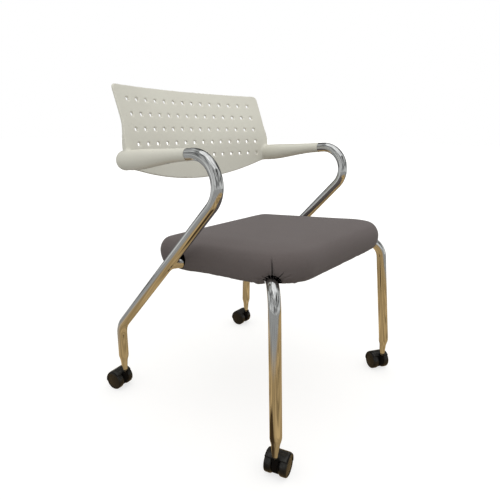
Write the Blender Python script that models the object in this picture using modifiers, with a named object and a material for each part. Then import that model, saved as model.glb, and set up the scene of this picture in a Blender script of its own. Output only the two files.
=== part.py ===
"""Conference armchair on four twin-wheel castors.

A chromed tube frame carries a moulded back with two arm sleeves and an upholstered seat.
Metres, +Z up, floor at z = 0. The sitter faces -Y, so the sitter's right hand is at -X.
"""

import math

import bmesh
import bpy
from mathutils import Matrix, Vector

for old in list(bpy.data.objects):
    bpy.data.objects.remove(old)

# Fits shared by every piece
FIT_GAP = 0.0003
CENTRE_LINE_X = -0.0135

# Seat cushion, measured on the middle plane of its thickness
SEAT_CENTRE_Y = -0.0539
SEAT_DEPTH = 0.4153
SEAT_FRONT_HALF_WIDTH = 0.2339
SEAT_REAR_HALF_WIDTH = 0.2209
SEAT_FRONT_CORNER = 0.0943
SEAT_REAR_CORNER = 0.0475
SEAT_FRONT_HEIGHT = 0.4234
SEAT_REAR_HEIGHT = 0.3915
SEAT_THICKNESS = 0.0668
SEAT_EDGE_BULGE = 0.0189
SEAT_CROWN = 0.006
SEAT_SIDE_PULL_IN = 0.002
COVER_THICKNESS = 0.0012
COVER_HEM = 0.012

# Seat pan, its brackets and its fixings
PAN_INSET = 0.034
PAN_THICKNESS = 0.009
PLATE_WIDTH = 0.040
PLATE_REACH = 0.052
PLATE_OVERLAP = 0.009
PLATE_THICKNESS = 0.003
PLATE_FROM_RAIL = 0.0605
SEAT_SCREW_SETBACK = 0.012
SEAT_SCREW_RADIUS = 0.003
SEAT_SCREW_HEAD_RADIUS = 0.0055
SEAT_SCREW_HEAD_HEIGHT = 0.004
TEE_NUT_WALL = 0.001
TEE_NUT_FLANGE_RADIUS = 0.009
TEE_NUT_FLANGE_THICKNESS = 0.0012

# Frame tubes
TUBE_RADIUS = 0.0125
TUBE_WALL = 0.0015
CROSS_RADIUS = 0.009
SEAT_TO_SIDE_TUBE = 0.0126
ARM_MOUTH_Y = -0.0209
ARM_HEIGHT = 0.6302
ARM_SLOPE = math.radians(5.0)
ARM_CORNER_Y = -0.1897
ARM_BEND_RADIUS = 0.060
REAR_LEG_Y = 0.240
REAR_KNEE_HEIGHT = 0.1816
REAR_KNEE_RADIUS = 0.0563
FRONT_LEG_STANDOFF = 0.0335
FRONT_LEG_BEARING = math.radians(30.8)
FRONT_LEG_HEADING = math.radians(48.4)
FRONT_LEG_BEND_RADIUS = 0.0516
FRONT_LEG_SPLAY_OUT = 0.0204
FRONT_LEG_SPLAY_FORWARD = 0.0279
LEG_VERTICAL_END = 0.048
LEG_ANKLE_RADIUS = 0.080
RAIL_DROP_FRONT = 0.0273
RAIL_DROP_REAR = 0.0105
RAIL_FROM_SIDE_TUBE = 0.0885
RAIL_BEND_RADIUS = 0.045
BRANCH_HEADING = math.radians(65.0)
CROSS_RAIL_FRONT_Y = -0.122
CROSS_RAIL_REAR_Y = -0.036
TUBE_PASSAGE = 0.0012
SWAGE_RADIUS = 0.00825
SWAGE_LENGTH = 0.030
SWAGE_TAPER = 0.012

# Moulded back with its arm sleeves
SLEEVE_LENGTH = 0.227
SLEEVE_LIP = 0.0007
SLEEVE_REAR_HALF_HEIGHT = 0.0225
SLEEVE_REAR_HALF_WIDTH = 0.019
SLEEVE_END_ROUND = 0.024
SLEEVE_SAG = 0.55
SLEEVE_GROWS_FROM = 0.010
SLEEVE_GROWS_OVER = 0.165
SPIGOT_STEP = 0.002
SPIGOT_STOP_SHORT = 0.075
ARM_SCREW_SETBACK = 0.060
ARM_SCREW_RADIUS = 0.002
ARM_SCREW_HEAD_RADIUS = 0.004
ARM_SCREW_HEAD_HEIGHT = 0.0022
ARM_SCREW_SEAT = 0.004
BACK_ABOVE_ARM = 0.1443
BACK_BELOW_ARM = 0.0807
BACK_PAST_SIDE_TUBE = 0.001
BACK_EDGE_FLARE = 0.006
BACK_FLARE_START = 0.065
BACK_FLARE_HEIGHT = 0.050
BACK_THICKNESS = 0.004
BACK_RIM_DEPTH = 0.008
BACK_CORNER = 0.006
BACK_SETBACK = 0.0441
BACK_LEAN = 0.42
BACK_LEAN_START = 0.030
BACK_LEAN_EASE = 0.045
BACK_BOW_TOP = 0.050
BACK_BOW_BOTTOM = 0.020
BACK_BOTTOM_LIFT = 0.042
HOLE_SIZE = 0.012
HOLE_ROWS = 5
HOLE_COLUMNS = 14
HOLE_TOP_MARGIN = 0.031
HOLE_BOTTOM_MARGIN = 0.059
HOLE_SIDE_MARGIN = 0.0403

# Castors
WHEEL_RADIUS = 0.024
WHEEL_WIDTH = 0.017
WHEEL_SIDES = 24
WHEEL_EDGE = 0.0025
WHEEL_RIM = 0.0016
WHEEL_DISC_RECESS = 0.0009
WHEEL_CAP = 0.004
WHEEL_GAP = 0.0005
AXLE_RADIUS = 0.003
CASTOR_TRAIL = 0.020
HUB_HALF_WIDTH = 0.0075
HUB_LOWER_RADIUS = 0.016
HUB_FRONT_WALL = 0.0025
HUB_FLOOR = 0.001
HUB_RISE = 0.002
HUB_FRONT_CHAMFER = 0.004
HOOD_CLEARANCE = 0.0006
HOOD_THICKNESS = 0.0015
HOOD_REAR_ANGLE = math.radians(-12.0)
HOOD_FRONT_ANGLE = math.radians(132.0)
HUB_TOP_ARC = (math.radians(110.0), math.radians(0.0))
HUB_BOTTOM_ARC = (math.radians(-20.0), math.radians(-150.0))
STEM_RADIUS = 0.005
STEM_BASE = 0.024
STEM_GRIP = 0.024
COLLAR_RADIUS = 0.0074
COLLAR_THICKNESS = 0.0014
SOCKET_LENGTH = 0.026
SOCKET_FLANGE = 0.0024
CASTOR_HEADINGS = {
    "front_right": math.radians(14.0),
    "front_left": math.radians(56.0),
    "rear_right": math.radians(99.5),
    "rear_left": math.radians(92.0),
}

# How finely round shapes are stepped
BEND_STEP = 12.0
TUBE_ROUNDNESS = 4
TUBE_SIDES = 2 * (TUBE_ROUNDNESS + 2)
HOLE_SIDES = 24
PIN_SIDES = 12
CORNER_STEPS = 4
SIDE_STEPS = 5
EDGE_STEPS = 8
CROWN_SCALES = (0.75, 0.42)
SLEEVE_SIDES = 16
SLEEVE_STEPS = 8
SLEEVE_END_ANGLES = (math.radians(30), math.radians(52), math.radians(70), math.radians(82))
PANEL_CORNER_STEPS = (0.0, 0.3, 1.0)
HOOD_STEPS = 12

# Sizes that follow from the ones above
SIDE_X = SEAT_FRONT_HALF_WIDTH + SEAT_TO_SIDE_TUBE + TUBE_RADIUS
RAIL_X = SIDE_X - RAIL_FROM_SIDE_TUBE
PLATE_X = RAIL_X - PLATE_FROM_RAIL
BACK_TOP = ARM_HEIGHT + BACK_ABOVE_ARM
BACK_BOTTOM = ARM_HEIGHT - BACK_BELOW_ARM
BACK_HALF_WIDTH = SIDE_X + BACK_PAST_SIDE_TUBE
SPIGOT_RADIUS = TUBE_RADIUS - SPIGOT_STEP
SPIGOT_LENGTH = SLEEVE_LENGTH - SPIGOT_STOP_SHORT
SLEEVE_MOUTH_RADIUS = TUBE_RADIUS + SLEEVE_LIP
SEAT_TILT = math.atan((SEAT_REAR_HEIGHT - SEAT_FRONT_HEIGHT) / SEAT_DEPTH)
SEAT_MIDDLE_HEIGHT = (SEAT_FRONT_HEIGHT + SEAT_REAR_HEIGHT) / 2
SEAT_HALF_THICKNESS = SEAT_THICKNESS / 2
COVER_TO_FOAM = COVER_THICKNESS + FIT_GAP
HUB_TOP = 2 * WHEEL_RADIUS + HUB_RISE
COLLAR_TOP = HUB_TOP + FIT_GAP + COLLAR_THICKNESS
LEG_END = COLLAR_TOP + FIT_GAP + SOCKET_FLANGE + FIT_GAP
HOOD_INNER = WHEEL_RADIUS / math.cos(math.pi / WHEEL_SIDES) + HOOD_CLEARANCE
HOOD_OUTER = HOOD_INNER + HOOD_THICKNESS
PLATE_TOP = TUBE_RADIUS
PLATE_BOTTOM = PLATE_TOP - PLATE_THICKNESS
CROSS_RAIL_Z = PLATE_BOTTOM - FIT_GAP - CROSS_RADIUS
PAN_BOTTOM = PLATE_TOP + FIT_GAP
PAN_TOP = PAN_BOTTOM + PAN_THICKNESS

SIDES = {"right": -1, "left": 1}
ENDS = {"front": -1, "rear": 1}


def seat_plane_height(y):
    """Height of the cushion's middle plane at a place along the chair."""
    return SEAT_MIDDLE_HEIGHT + math.tan(SEAT_TILT) * (y - SEAT_CENTRE_Y)


# Corners of the tube lines, on the left side of the chair
ARM_CORNER = Vector((SIDE_X, ARM_CORNER_Y, ARM_HEIGHT + math.tan(ARM_SLOPE) * (ARM_MOUTH_Y - ARM_CORNER_Y)))
REAR_KNEE = Vector((SIDE_X, REAR_LEG_Y, REAR_KNEE_HEIGHT))
REAR_FOOT = Vector((SIDE_X, REAR_LEG_Y, LEG_END))
ARM_MOUTH = Vector((SIDE_X, ARM_MOUTH_Y, ARM_HEIGHT))
ARM_BACKWARD = Vector((0, math.cos(ARM_SLOPE), -math.sin(ARM_SLOPE)))
FRONT_CORNER_CENTRE = Vector((
    SEAT_FRONT_HALF_WIDTH - SEAT_FRONT_CORNER,
    SEAT_CENTRE_Y - SEAT_DEPTH / 2 + SEAT_FRONT_CORNER,
))
FRONT_TOP_PLAN = FRONT_CORNER_CENTRE + (SEAT_FRONT_CORNER + FRONT_LEG_STANDOFF) * Vector((
    math.cos(FRONT_LEG_BEARING),
    -math.sin(FRONT_LEG_BEARING),
))
FRONT_TOP = Vector((*FRONT_TOP_PLAN, seat_plane_height(FRONT_TOP_PLAN.y) - RAIL_DROP_FRONT))
FRONT_FOOT = Vector((FRONT_TOP.x + FRONT_LEG_SPLAY_OUT, FRONT_TOP.y - FRONT_LEG_SPLAY_FORWARD, LEG_END))
FRONT_ANKLE = FRONT_FOOT + Vector((0, 0, LEG_VERTICAL_END))

# The branch of the front leg meets the diagonal of the side tube where that crosses the rail's height
DIAGONAL = REAR_KNEE - ARM_CORNER
DIAGONAL_SLOPE = DIAGONAL.z / DIAGONAL.y
BRANCH_Y = (
    SEAT_MIDDLE_HEIGHT - math.tan(SEAT_TILT) * SEAT_CENTRE_Y - RAIL_DROP_REAR - REAR_KNEE.z
    + DIAGONAL_SLOPE * REAR_KNEE.y
) / (DIAGONAL_SLOPE - math.tan(SEAT_TILT))
BRANCH_END = Vector((SIDE_X, BRANCH_Y, seat_plane_height(BRANCH_Y) - RAIL_DROP_REAR))
RAIL_SLOPE = (BRANCH_END.z - FRONT_TOP.z) / (BRANCH_END.y - FRONT_TOP.y)
RAIL_TILT = math.atan(RAIL_SLOPE)


def rail_point(x, y):
    """A point of the rail plane, which holds both runs under the seat."""
    return Vector((x, y, FRONT_TOP.z + RAIL_SLOPE * (y - FRONT_TOP.y)))


RAIL_FRONT_Y = FRONT_TOP.y + (FRONT_TOP.x - RAIL_X) / math.tan(FRONT_LEG_HEADING)
RAIL_REAR_Y = BRANCH_END.y - RAIL_FROM_SIDE_TUBE / math.tan(BRANCH_HEADING)

parts = bpy.data.collections.new("conference_armchair")
cutters = bpy.data.collections.new("cutters")
bpy.context.scene.collection.children.link(parts)
bpy.context.scene.collection.children.link(cutters)


def material(name, colour, roughness, metallic):
    made = bpy.data.materials.new(name)
    made.use_nodes = True
    shader = made.node_tree.nodes["Principled BSDF"]
    shader.inputs["Base Color"].default_value = (*colour, 1.0)
    shader.inputs["Roughness"].default_value = roughness
    shader.inputs["Metallic"].default_value = metallic
    return made


CHROME = material("chrome_tube", (0.75, 0.75, 0.74), 0.08, 1.0)
WHITE_PLASTIC = material("white_plastic", (0.56, 0.56, 0.50), 0.40, 0.0)
SEAT_FABRIC = material("seat_fabric", (0.16, 0.135, 0.13), 0.95, 0.0)
SEAT_FOAM = material("seat_foam", (0.75, 0.68, 0.48), 0.95, 0.0)
PLYWOOD = material("plywood", (0.52, 0.36, 0.21), 0.70, 0.0)
ZINC_STEEL = material("zinc_steel", (0.55, 0.55, 0.53), 0.35, 1.0)
BLACK_PLASTIC = material("black_plastic", (0.015, 0.015, 0.016), 0.45, 0.0)


def empty(name, parent, matrix):
    """A bare frame that pieces hang on, such as a joint's axis or a tilted plane."""
    made = bpy.data.objects.new(name, None)
    parts.objects.link(made)
    made.parent = parent
    made.matrix_basis = matrix
    return made


def piece(name, mesh, look, parent, matrix=Matrix()):
    """One named part of the chair."""
    mesh.materials.clear()
    mesh.materials.append(look)
    made = bpy.data.objects.new(name, mesh)
    parts.objects.link(made)
    made.parent = parent
    made.matrix_basis = matrix
    return made


def cutter(name, mesh, parent, matrix=Matrix()):
    """A tool body, never rendered, that Booleans take away from or add to a part."""
    made = bpy.data.objects.new(name, mesh)
    cutters.objects.link(made)
    made.hide_render = True
    made.display_type = "WIRE"
    made.parent = parent
    made.matrix_basis = matrix
    return made


def boolean(target, tool, operation):
    modifier = target.modifiers.new(tool.name, "BOOLEAN")
    modifier.operation = operation
    modifier.solver = "EXACT"
    modifier.object = tool


def solidify(target, thickness):
    """Gives a skin its thickness, all of it on the inner or rear side."""
    modifier = target.modifiers.new("wall", "SOLIDIFY")
    modifier.thickness = thickness
    modifier.offset = -1.0
    modifier.use_even_offset = True
    return modifier


def tidy(mesh):
    """Welds seams, turns every face outward and shades round surfaces smooth."""
    work = bmesh.new()
    work.from_mesh(mesh)
    bmesh.ops.remove_doubles(work, verts=work.verts, dist=1e-6)
    bmesh.ops.recalc_face_normals(work, faces=work.faces)
    work.to_mesh(mesh)
    work.free()
    mesh.shade_smooth()
    mesh.set_sharp_from_angle(angle=math.radians(40))
    return mesh


def finished(obj):
    """The mesh of an object as evaluated, with the object and its source taken away."""
    graph = bpy.context.evaluated_depsgraph_get()
    mesh = bpy.data.meshes.new_from_object(obj.evaluated_get(graph))
    bpy.data.objects.remove(obj)
    return tidy(mesh)


def rounded_path(corners, radii):
    """A line through corners, with each inner corner replaced by an arc of its radius."""
    path = [corners[0]]
    for before, corner, after, radius in zip(corners, corners[1:], corners[2:], radii):
        into = (corner - before).normalized()
        out = (after - corner).normalized()
        turn = into.angle(out)
        start = corner - into * radius * math.tan(turn / 2)
        axis = into.cross(out).normalized()
        centre = start + axis.cross(into) * radius
        steps = max(2, math.ceil(math.degrees(turn) / BEND_STEP))
        for step in range(steps + 1):
            path.append(centre + Matrix.Rotation(turn * step / steps, 3, axis) @ (start - centre))
    path.append(corners[-1])
    return path


def tube_mesh(name, path, radii, capped):
    """A round tube surface along a line, with its own radius at each point."""
    curve = bpy.data.curves.new(name, "CURVE")
    curve.dimensions = "3D"
    curve.bevel_depth = 1.0
    curve.bevel_resolution = TUBE_ROUNDNESS
    curve.use_fill_caps = capped
    spline = curve.splines.new("POLY")
    spline.points.add(len(path) - 1)
    for point, place, radius in zip(spline.points, path, radii):
        point.co = (*place, 1.0)
        point.radius = radius
    obj = bpy.data.objects.new(name, curve)
    cutters.objects.link(obj)
    return finished(obj)


def flat_mesh(name, points, thickness):
    """A flat outline in XY, made as thick as asked, half to each side."""
    curve = bpy.data.curves.new(name, "CURVE")
    curve.dimensions = "2D"
    curve.fill_mode = "BOTH"
    curve.extrude = thickness / 2
    spline = curve.splines.new("POLY")
    spline.use_cyclic_u = True
    spline.points.add(len(points) - 1)
    for point, (x, y) in zip(spline.points, points):
        point.co = (x, y, 0.0, 1.0)
    obj = bpy.data.objects.new(name, curve)
    cutters.objects.link(obj)
    return finished(obj)


def turned_mesh(name, profile, closed, sides):
    """A profile of (radius, height) points turned about Z."""
    mesh = bpy.data.meshes.new(name)
    count = len(profile)
    edges = [(i, (i + 1) % count) for i in range(count if closed else count - 1)]
    mesh.from_pydata([(radius, 0, height) for radius, height in profile], edges, [])
    obj = bpy.data.objects.new(name, mesh)
    cutters.objects.link(obj)
    screw = obj.modifiers.new("turned", "SCREW")
    screw.axis = "Z"
    screw.angle = math.tau
    screw.steps = sides
    screw.render_steps = sides
    screw.use_merge_vertices = True
    screw.merge_threshold = 1e-5
    return finished(obj)


def cylinder_mesh(name, radius, bottom, top, sides):
    """A solid cylinder about Z."""
    return turned_mesh(name, [(0, top), (radius, top), (radius, bottom), (0, bottom)], False, sides)


def bore_radius(radius, sides):
    """Radius of a bore drawn with flat sides that still clears a shaft by the usual gap."""
    return (radius + FIT_GAP) / math.cos(math.pi / sides)


def loft_mesh(name, rings, first_cap, last_cap):
    """A skin over rings of points, closed at an end by one face or by a fan to a middle point."""
    mesh = bpy.data.meshes.new(name)
    work = bmesh.new()
    loops = [[work.verts.new(point) for point in ring] for ring in rings]
    count = len(rings[0])
    for lower, upper in zip(loops, loops[1:]):
        for i in range(count):
            j = (i + 1) % count
            work.faces.new((lower[i], lower[j], upper[j], upper[i]))
    for loop, cap in ((loops[0], first_cap), (loops[-1], last_cap)):
        if cap == "flat":
            work.faces.new(loop)
        elif cap is not None:
            middle = work.verts.new(cap)
            for i in range(count):
                work.faces.new((loop[i], loop[(i + 1) % count], middle))
    work.to_mesh(mesh)
    work.free()
    return tidy(mesh)


def mirrored(points, side):
    """Points of the left side, or their mirror images for the right side."""
    return [Vector((side * point.x, point.y, point.z)) for point in points]


chair = empty("chair", None, Matrix.Translation((CENTRE_LINE_X, 0, 0)))
rail_plane = empty(
    "rail_plane", chair, Matrix.Translation(rail_point(0, 0)) @ Matrix.Rotation(RAIL_TILT, 4, "X")
)
seat_plane = empty(
    "seat_plane",
    chair,
    Matrix.Translation((0, SEAT_CENTRE_Y, SEAT_MIDDLE_HEIGHT)) @ Matrix.Rotation(SEAT_TILT, 4, "X"),
)
arm_lines = {}
for side_name, side in SIDES.items():
    arm_lines[side_name] = empty(
        "arm_line_" + side_name,
        chair,
        Matrix.Translation(mirrored([ARM_MOUTH], side)[0]) @ Matrix.Rotation(-ARM_SLOPE, 4, "X"),
    )

# Arm screw hole: it passes the sleeve's underside and the lower wall of the spigot only
ARM_SCREW_HOLE_TOP = -SPIGOT_RADIUS / 2
ARM_SCREW_HOLE_BOTTOM = -2 * SLEEVE_REAR_HALF_HEIGHT
ARM_SCREW_HEAD_TOP = -SPIGOT_RADIUS - ARM_SCREW_SEAT
screw_holes = {}
for side_name in SIDES:
    screw_holes[side_name] = cutter(
        "arm_screw_hole_" + side_name,
        cylinder_mesh(
            "arm_screw_hole",
            bore_radius(ARM_SCREW_RADIUS, PIN_SIDES),
            ARM_SCREW_HOLE_BOTTOM,
            ARM_SCREW_HOLE_TOP,
            PIN_SIDES,
        ),
        arm_lines[side_name],
        Matrix.Translation((0, ARM_SCREW_SETBACK, 0)),
    )


def swaged_end(path, radii):
    """The drawn-in leg end: a short cone and a straight end that takes the castor's socket."""
    foot = path.pop()
    radii.pop()
    path.append(foot + Vector((0, 0, SWAGE_LENGTH + SWAGE_TAPER)))
    path.append(foot + Vector((0, 0, SWAGE_LENGTH)))
    path.append(foot)
    radii.extend((TUBE_RADIUS, SWAGE_RADIUS, SWAGE_RADIUS))


# Side tubes: spigot in the arm sleeve, arm, forward bend, diagonal, knee and rear leg
SPIGOT_END = ARM_MOUTH + ARM_BACKWARD * (SPIGOT_LENGTH - FIT_GAP)
SHOULDER = ARM_MOUTH - ARM_BACKWARD * FIT_GAP
for side_name, side in SIDES.items():
    line = rounded_path([SHOULDER, ARM_CORNER, REAR_KNEE, REAR_FOOT], [ARM_BEND_RADIUS, REAR_KNEE_RADIUS])
    sizes = [TUBE_RADIUS] * len(line)
    swaged_end(line, sizes)
    line = [SPIGOT_END, SHOULDER + ARM_BACKWARD * FIT_GAP] + line
    sizes = [SPIGOT_RADIUS, SPIGOT_RADIUS] + sizes
    side_tube = piece(
        "side_tube_" + side_name,
        tube_mesh("side_tube", mirrored(line, side), sizes, False),
        CHROME,
        chair,
    )
    solidify(side_tube, TUBE_WALL)
    boolean(side_tube, screw_holes[side_name], "DIFFERENCE")

# Front legs: leg, top bend, run under the seat and branch, fish-mouthed on to the side tube
passages = {}
FRONT_LEG_LINE = rounded_path(
    [
        BRANCH_END,
        rail_point(RAIL_X, RAIL_REAR_Y),
        rail_point(RAIL_X, RAIL_FRONT_Y),
        FRONT_TOP,
        FRONT_ANKLE,
        FRONT_FOOT,
    ],
    [RAIL_BEND_RADIUS, RAIL_BEND_RADIUS, FRONT_LEG_BEND_RADIUS, LEG_ANKLE_RADIUS],
)
BRANCH_MOUTH_LENGTH = 6 * TUBE_RADIUS
for side_name, side in SIDES.items():
    line = list(FRONT_LEG_LINE)
    sizes = [TUBE_RADIUS] * len(line)
    swaged_end(line, sizes)
    front_leg = piece(
        "front_leg_" + side_name,
        tube_mesh("front_leg", mirrored(line, side), sizes, False),
        CHROME,
        chair,
    )
    solidify(front_leg, TUBE_WALL)
    along_diagonal = DIAGONAL.to_track_quat("Z", "Y").to_matrix().to_4x4()
    mouth = cutter(
        "branch_mouth_" + side_name,
        cylinder_mesh(
            "branch_mouth",
            bore_radius(TUBE_RADIUS, HOLE_SIDES),
            -BRANCH_MOUTH_LENGTH / 2,
            BRANCH_MOUTH_LENGTH / 2,
            HOLE_SIDES,
        ),
        chair,
        Matrix.Translation(mirrored([BRANCH_END], side)[0]) @ along_diagonal,
    )
    boolean(front_leg, mouth, "DIFFERENCE")
    passages[side_name] = cutter(
        "tube_passage_" + side_name,
        tube_mesh(
            "tube_passage",
            mirrored(FRONT_LEG_LINE, side),
            [TUBE_RADIUS + TUBE_PASSAGE] * len(FRONT_LEG_LINE),
            True,
        ),
        chair,
    )

# Cross rails between the two runs, each end fitted round its run
rail_bodies = []
for side_name, side in SIDES.items():
    rail_bodies.append(cutter(
        "rail_body_" + side_name,
        cylinder_mesh(
            "rail_body",
            bore_radius(TUBE_RADIUS, HOLE_SIDES),
            CROSS_RAIL_FRONT_Y - 2 * CROSS_RADIUS,
            CROSS_RAIL_REAR_Y + 2 * CROSS_RADIUS,
            HOLE_SIDES,
        ),
        rail_plane,
        Matrix.Translation((side * RAIL_X, 0, 0)) @ Matrix.Rotation(-math.pi / 2, 4, "X"),
    ))
CROSS_RAIL_YS = {"front": CROSS_RAIL_FRONT_Y, "rear": CROSS_RAIL_REAR_Y}
for end_name, rail_y in CROSS_RAIL_YS.items():
    ends = [Vector((-RAIL_X, rail_y, CROSS_RAIL_Z)), Vector((RAIL_X, rail_y, CROSS_RAIL_Z))]
    cross_rail = piece(
        "cross_rail_" + end_name,
        tube_mesh("cross_rail", ends, [CROSS_RADIUS, CROSS_RADIUS], False),
        CHROME,
        rail_plane,
    )
    solidify(cross_rail, TUBE_WALL)
    for rail_body in rail_bodies:
        boolean(cross_rail, rail_body, "DIFFERENCE")

# Bracket plates on the cross rails, with the seat screws and the tee nuts of the pan
SEAT_SCREW_HOLE = bore_radius(SEAT_SCREW_RADIUS, PIN_SIDES)
TEE_NUT_RADIUS = SEAT_SCREW_HOLE + TEE_NUT_WALL
TEE_NUT_SEAT = PAN_TOP - FIT_GAP - TEE_NUT_FLANGE_THICKNESS
SEAT_SCREW_HEAD_TOP = PLATE_BOTTOM - FIT_GAP
plate_corners = [
    (-PLATE_WIDTH / 2, -PLATE_OVERLAP),
    (PLATE_WIDTH / 2, -PLATE_OVERLAP),
    (PLATE_WIDTH / 2, PLATE_REACH),
    (-PLATE_WIDTH / 2, PLATE_REACH),
]
screw_hole_mesh = cylinder_mesh("seat_screw_hole", SEAT_SCREW_HOLE, PLATE_BOTTOM / 2, PAN_BOTTOM, PIN_SIDES)
plate_mesh = flat_mesh("seat_bracket", plate_corners, PLATE_THICKNESS)
seat_screw_mesh = turned_mesh(
    "seat_screw",
    [
        (0, PAN_TOP - TEE_NUT_FLANGE_THICKNESS),
        (SEAT_SCREW_RADIUS, PAN_TOP - TEE_NUT_FLANGE_THICKNESS),
        (SEAT_SCREW_RADIUS, SEAT_SCREW_HEAD_TOP),
        (SEAT_SCREW_HEAD_RADIUS, SEAT_SCREW_HEAD_TOP),
        (SEAT_SCREW_HEAD_RADIUS, SEAT_SCREW_HEAD_TOP - SEAT_SCREW_HEAD_HEIGHT),
        (0, SEAT_SCREW_HEAD_TOP - SEAT_SCREW_HEAD_HEIGHT),
    ],
    False,
    PIN_SIDES,
)
tee_nut_mesh = turned_mesh(
    "tee_nut",
    [
        (SEAT_SCREW_HOLE, PAN_TOP - FIT_GAP),
        (TEE_NUT_FLANGE_RADIUS, PAN_TOP - FIT_GAP),
        (TEE_NUT_FLANGE_RADIUS, TEE_NUT_SEAT),
        (TEE_NUT_RADIUS, TEE_NUT_SEAT),
        (TEE_NUT_RADIUS, PAN_BOTTOM + FIT_GAP),
        (SEAT_SCREW_HOLE, PAN_BOTTOM + FIT_GAP),
    ],
    True,
    PIN_SIDES,
)
tee_nut_space_mesh = turned_mesh(
    "tee_nut_space",
    [
        (0, PAN_TOP + PAN_THICKNESS),
        (bore_radius(TEE_NUT_FLANGE_RADIUS, PIN_SIDES), PAN_TOP + PAN_THICKNESS),
        (bore_radius(TEE_NUT_FLANGE_RADIUS, PIN_SIDES), TEE_NUT_SEAT - FIT_GAP),
        (bore_radius(TEE_NUT_RADIUS, PIN_SIDES), TEE_NUT_SEAT - FIT_GAP),
        (bore_radius(TEE_NUT_RADIUS, PIN_SIDES), PAN_BOTTOM - PAN_THICKNESS),
        (0, PAN_BOTTOM - PAN_THICKNESS),
    ],
    False,
    PIN_SIDES,
)
tee_nut_spaces = []
for end_name, end in ENDS.items():
    for side_name, side in SIDES.items():
        place = f"{end_name}_{side_name}"
        at_rail = Matrix.Translation((side * PLATE_X, CROSS_RAIL_YS[end_name], 0))
        turn = Matrix.Rotation(0 if end_name == "rear" else math.pi, 4, "Z")
        at_screw = at_rail @ Matrix.Translation((0, end * (PLATE_REACH - SEAT_SCREW_SETBACK), 0))
        plate_level = Matrix.Translation((0, 0, (PLATE_TOP + PLATE_BOTTOM) / 2))
        plate = piece(
            "seat_bracket_" + place, plate_mesh, ZINC_STEEL, rail_plane, at_rail @ plate_level @ turn
        )
        plate_hole = cutter("seat_screw_hole_" + place, screw_hole_mesh, rail_plane, at_screw)
        boolean(plate, plate_hole, "DIFFERENCE")
        piece("seat_screw_" + place, seat_screw_mesh, ZINC_STEEL, rail_plane, at_screw)
        piece("tee_nut_" + place, tee_nut_mesh, ZINC_STEEL, rail_plane, at_screw)
        tee_nut_spaces.append(cutter("tee_nut_space_" + place, tee_nut_space_mesh, rail_plane, at_screw))


def seat_outline(inset, pull_in):
    """The cushion's plan about its middle, drawn in by an inset, its sides pulled in between the corners."""
    half_depth = SEAT_DEPTH / 2
    front = (SEAT_FRONT_HALF_WIDTH - SEAT_FRONT_CORNER, SEAT_FRONT_CORNER - half_depth, SEAT_FRONT_CORNER)
    rear = (SEAT_REAR_HALF_WIDTH - SEAT_REAR_CORNER, half_depth - SEAT_REAR_CORNER, SEAT_REAR_CORNER)
    corners = []
    for quarter, (x, y, radius) in enumerate((rear, rear, front, front)):
        side = 1 if quarter in (0, 3) else -1
        corner = []
        for step in range(CORNER_STEPS + 1):
            angle = math.pi / 2 * (quarter + step / CORNER_STEPS)
            reach = radius - inset
            corner.append(Vector((side * x + reach * math.cos(angle), y + reach * math.sin(angle))))
        corners.append(corner)
    points = []
    for corner, following in zip(corners, corners[1:] + corners[:1]):
        points.extend(corner)
        along = following[0] - corner[-1]
        inward = Vector((-along.y, along.x)).normalized()
        for step in range(1, SIDE_STEPS if pull_in else 1):
            share = step / SIDE_STEPS
            points.append(corner[-1] + along * share + inward * pull_in * math.sin(math.pi * share))
    return points


def cushion_rings(shrink):
    """Rings of the cushion's skin from its underside edge over the side to its crowned top."""
    half = SEAT_HALF_THICKNESS - shrink
    rings = []
    for step in range(EDGE_STEPS + 1):
        angle = math.pi * (step / EDGE_STEPS - 0.5)
        inset = shrink + SEAT_EDGE_BULGE * (1 - math.cos(angle))
        plan = seat_outline(inset, SEAT_SIDE_PULL_IN)
        rings.append([Vector((x, y, half * math.sin(angle))) for x, y in plan])
    rim = rings[-1]
    for scale in CROWN_SCALES:
        height = half + SEAT_CROWN * (1 - scale * scale)
        rings.append([Vector((scale * point.x, scale * point.y, height)) for point in rim])
    return rings, Vector((0, 0, half + SEAT_CROWN))


# Pan under the foam, resting on the rails and plates
pan_outline = [(x, y + SEAT_CENTRE_Y) for x, y in seat_outline(PAN_INSET, 0)]
pan = piece(
    "seat_pan",
    flat_mesh("seat_pan", pan_outline, PAN_THICKNESS),
    PLYWOOD,
    rail_plane,
    Matrix.Translation((0, 0, (PAN_BOTTOM + PAN_TOP) / 2)),
)
for space in tee_nut_spaces:
    boolean(pan, space, "DIFFERENCE")

# Foam, hollowed from below for the pan, with ways out for the tubes
foam_rings, foam_top = cushion_rings(COVER_TO_FOAM)
foam = piece("seat_foam", loft_mesh("seat_foam", foam_rings, "flat", foam_top), SEAT_FOAM, seat_plane)
pocket_outline = [(x, y + SEAT_CENTRE_Y) for x, y in seat_outline(PAN_INSET - FIT_GAP, 0)]
pocket_depth = PAN_TOP + FIT_GAP + SEAT_THICKNESS
pocket = cutter(
    "pan_pocket",
    flat_mesh("pan_pocket", pocket_outline, pocket_depth),
    rail_plane,
    Matrix.Translation((0, 0, PAN_TOP + FIT_GAP - pocket_depth / 2)),
)
boolean(foam, pocket, "DIFFERENCE")

# Fabric cover round the foam, its hem turned under the skirt
cover_rings, cover_top = cushion_rings(0)
hem_plan = seat_outline(SEAT_EDGE_BULGE + COVER_HEM, SEAT_SIDE_PULL_IN)
hem = [Vector((x, y, -SEAT_HALF_THICKNESS)) for x, y in hem_plan]
cover_mesh = loft_mesh("seat_cover", [hem] + cover_rings, None, cover_top)
cover = piece("seat_cover", cover_mesh, SEAT_FABRIC, seat_plane)
solidify(cover, COVER_THICKNESS)
for passage in passages.values():
    boolean(foam, passage, "DIFFERENCE")
    boolean(cover, passage, "DIFFERENCE")


def ease(share):
    """A smooth step from 0 to 1."""
    share = min(max(share, 0.0), 1.0)
    return share * share * (3 - 2 * share)


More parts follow.
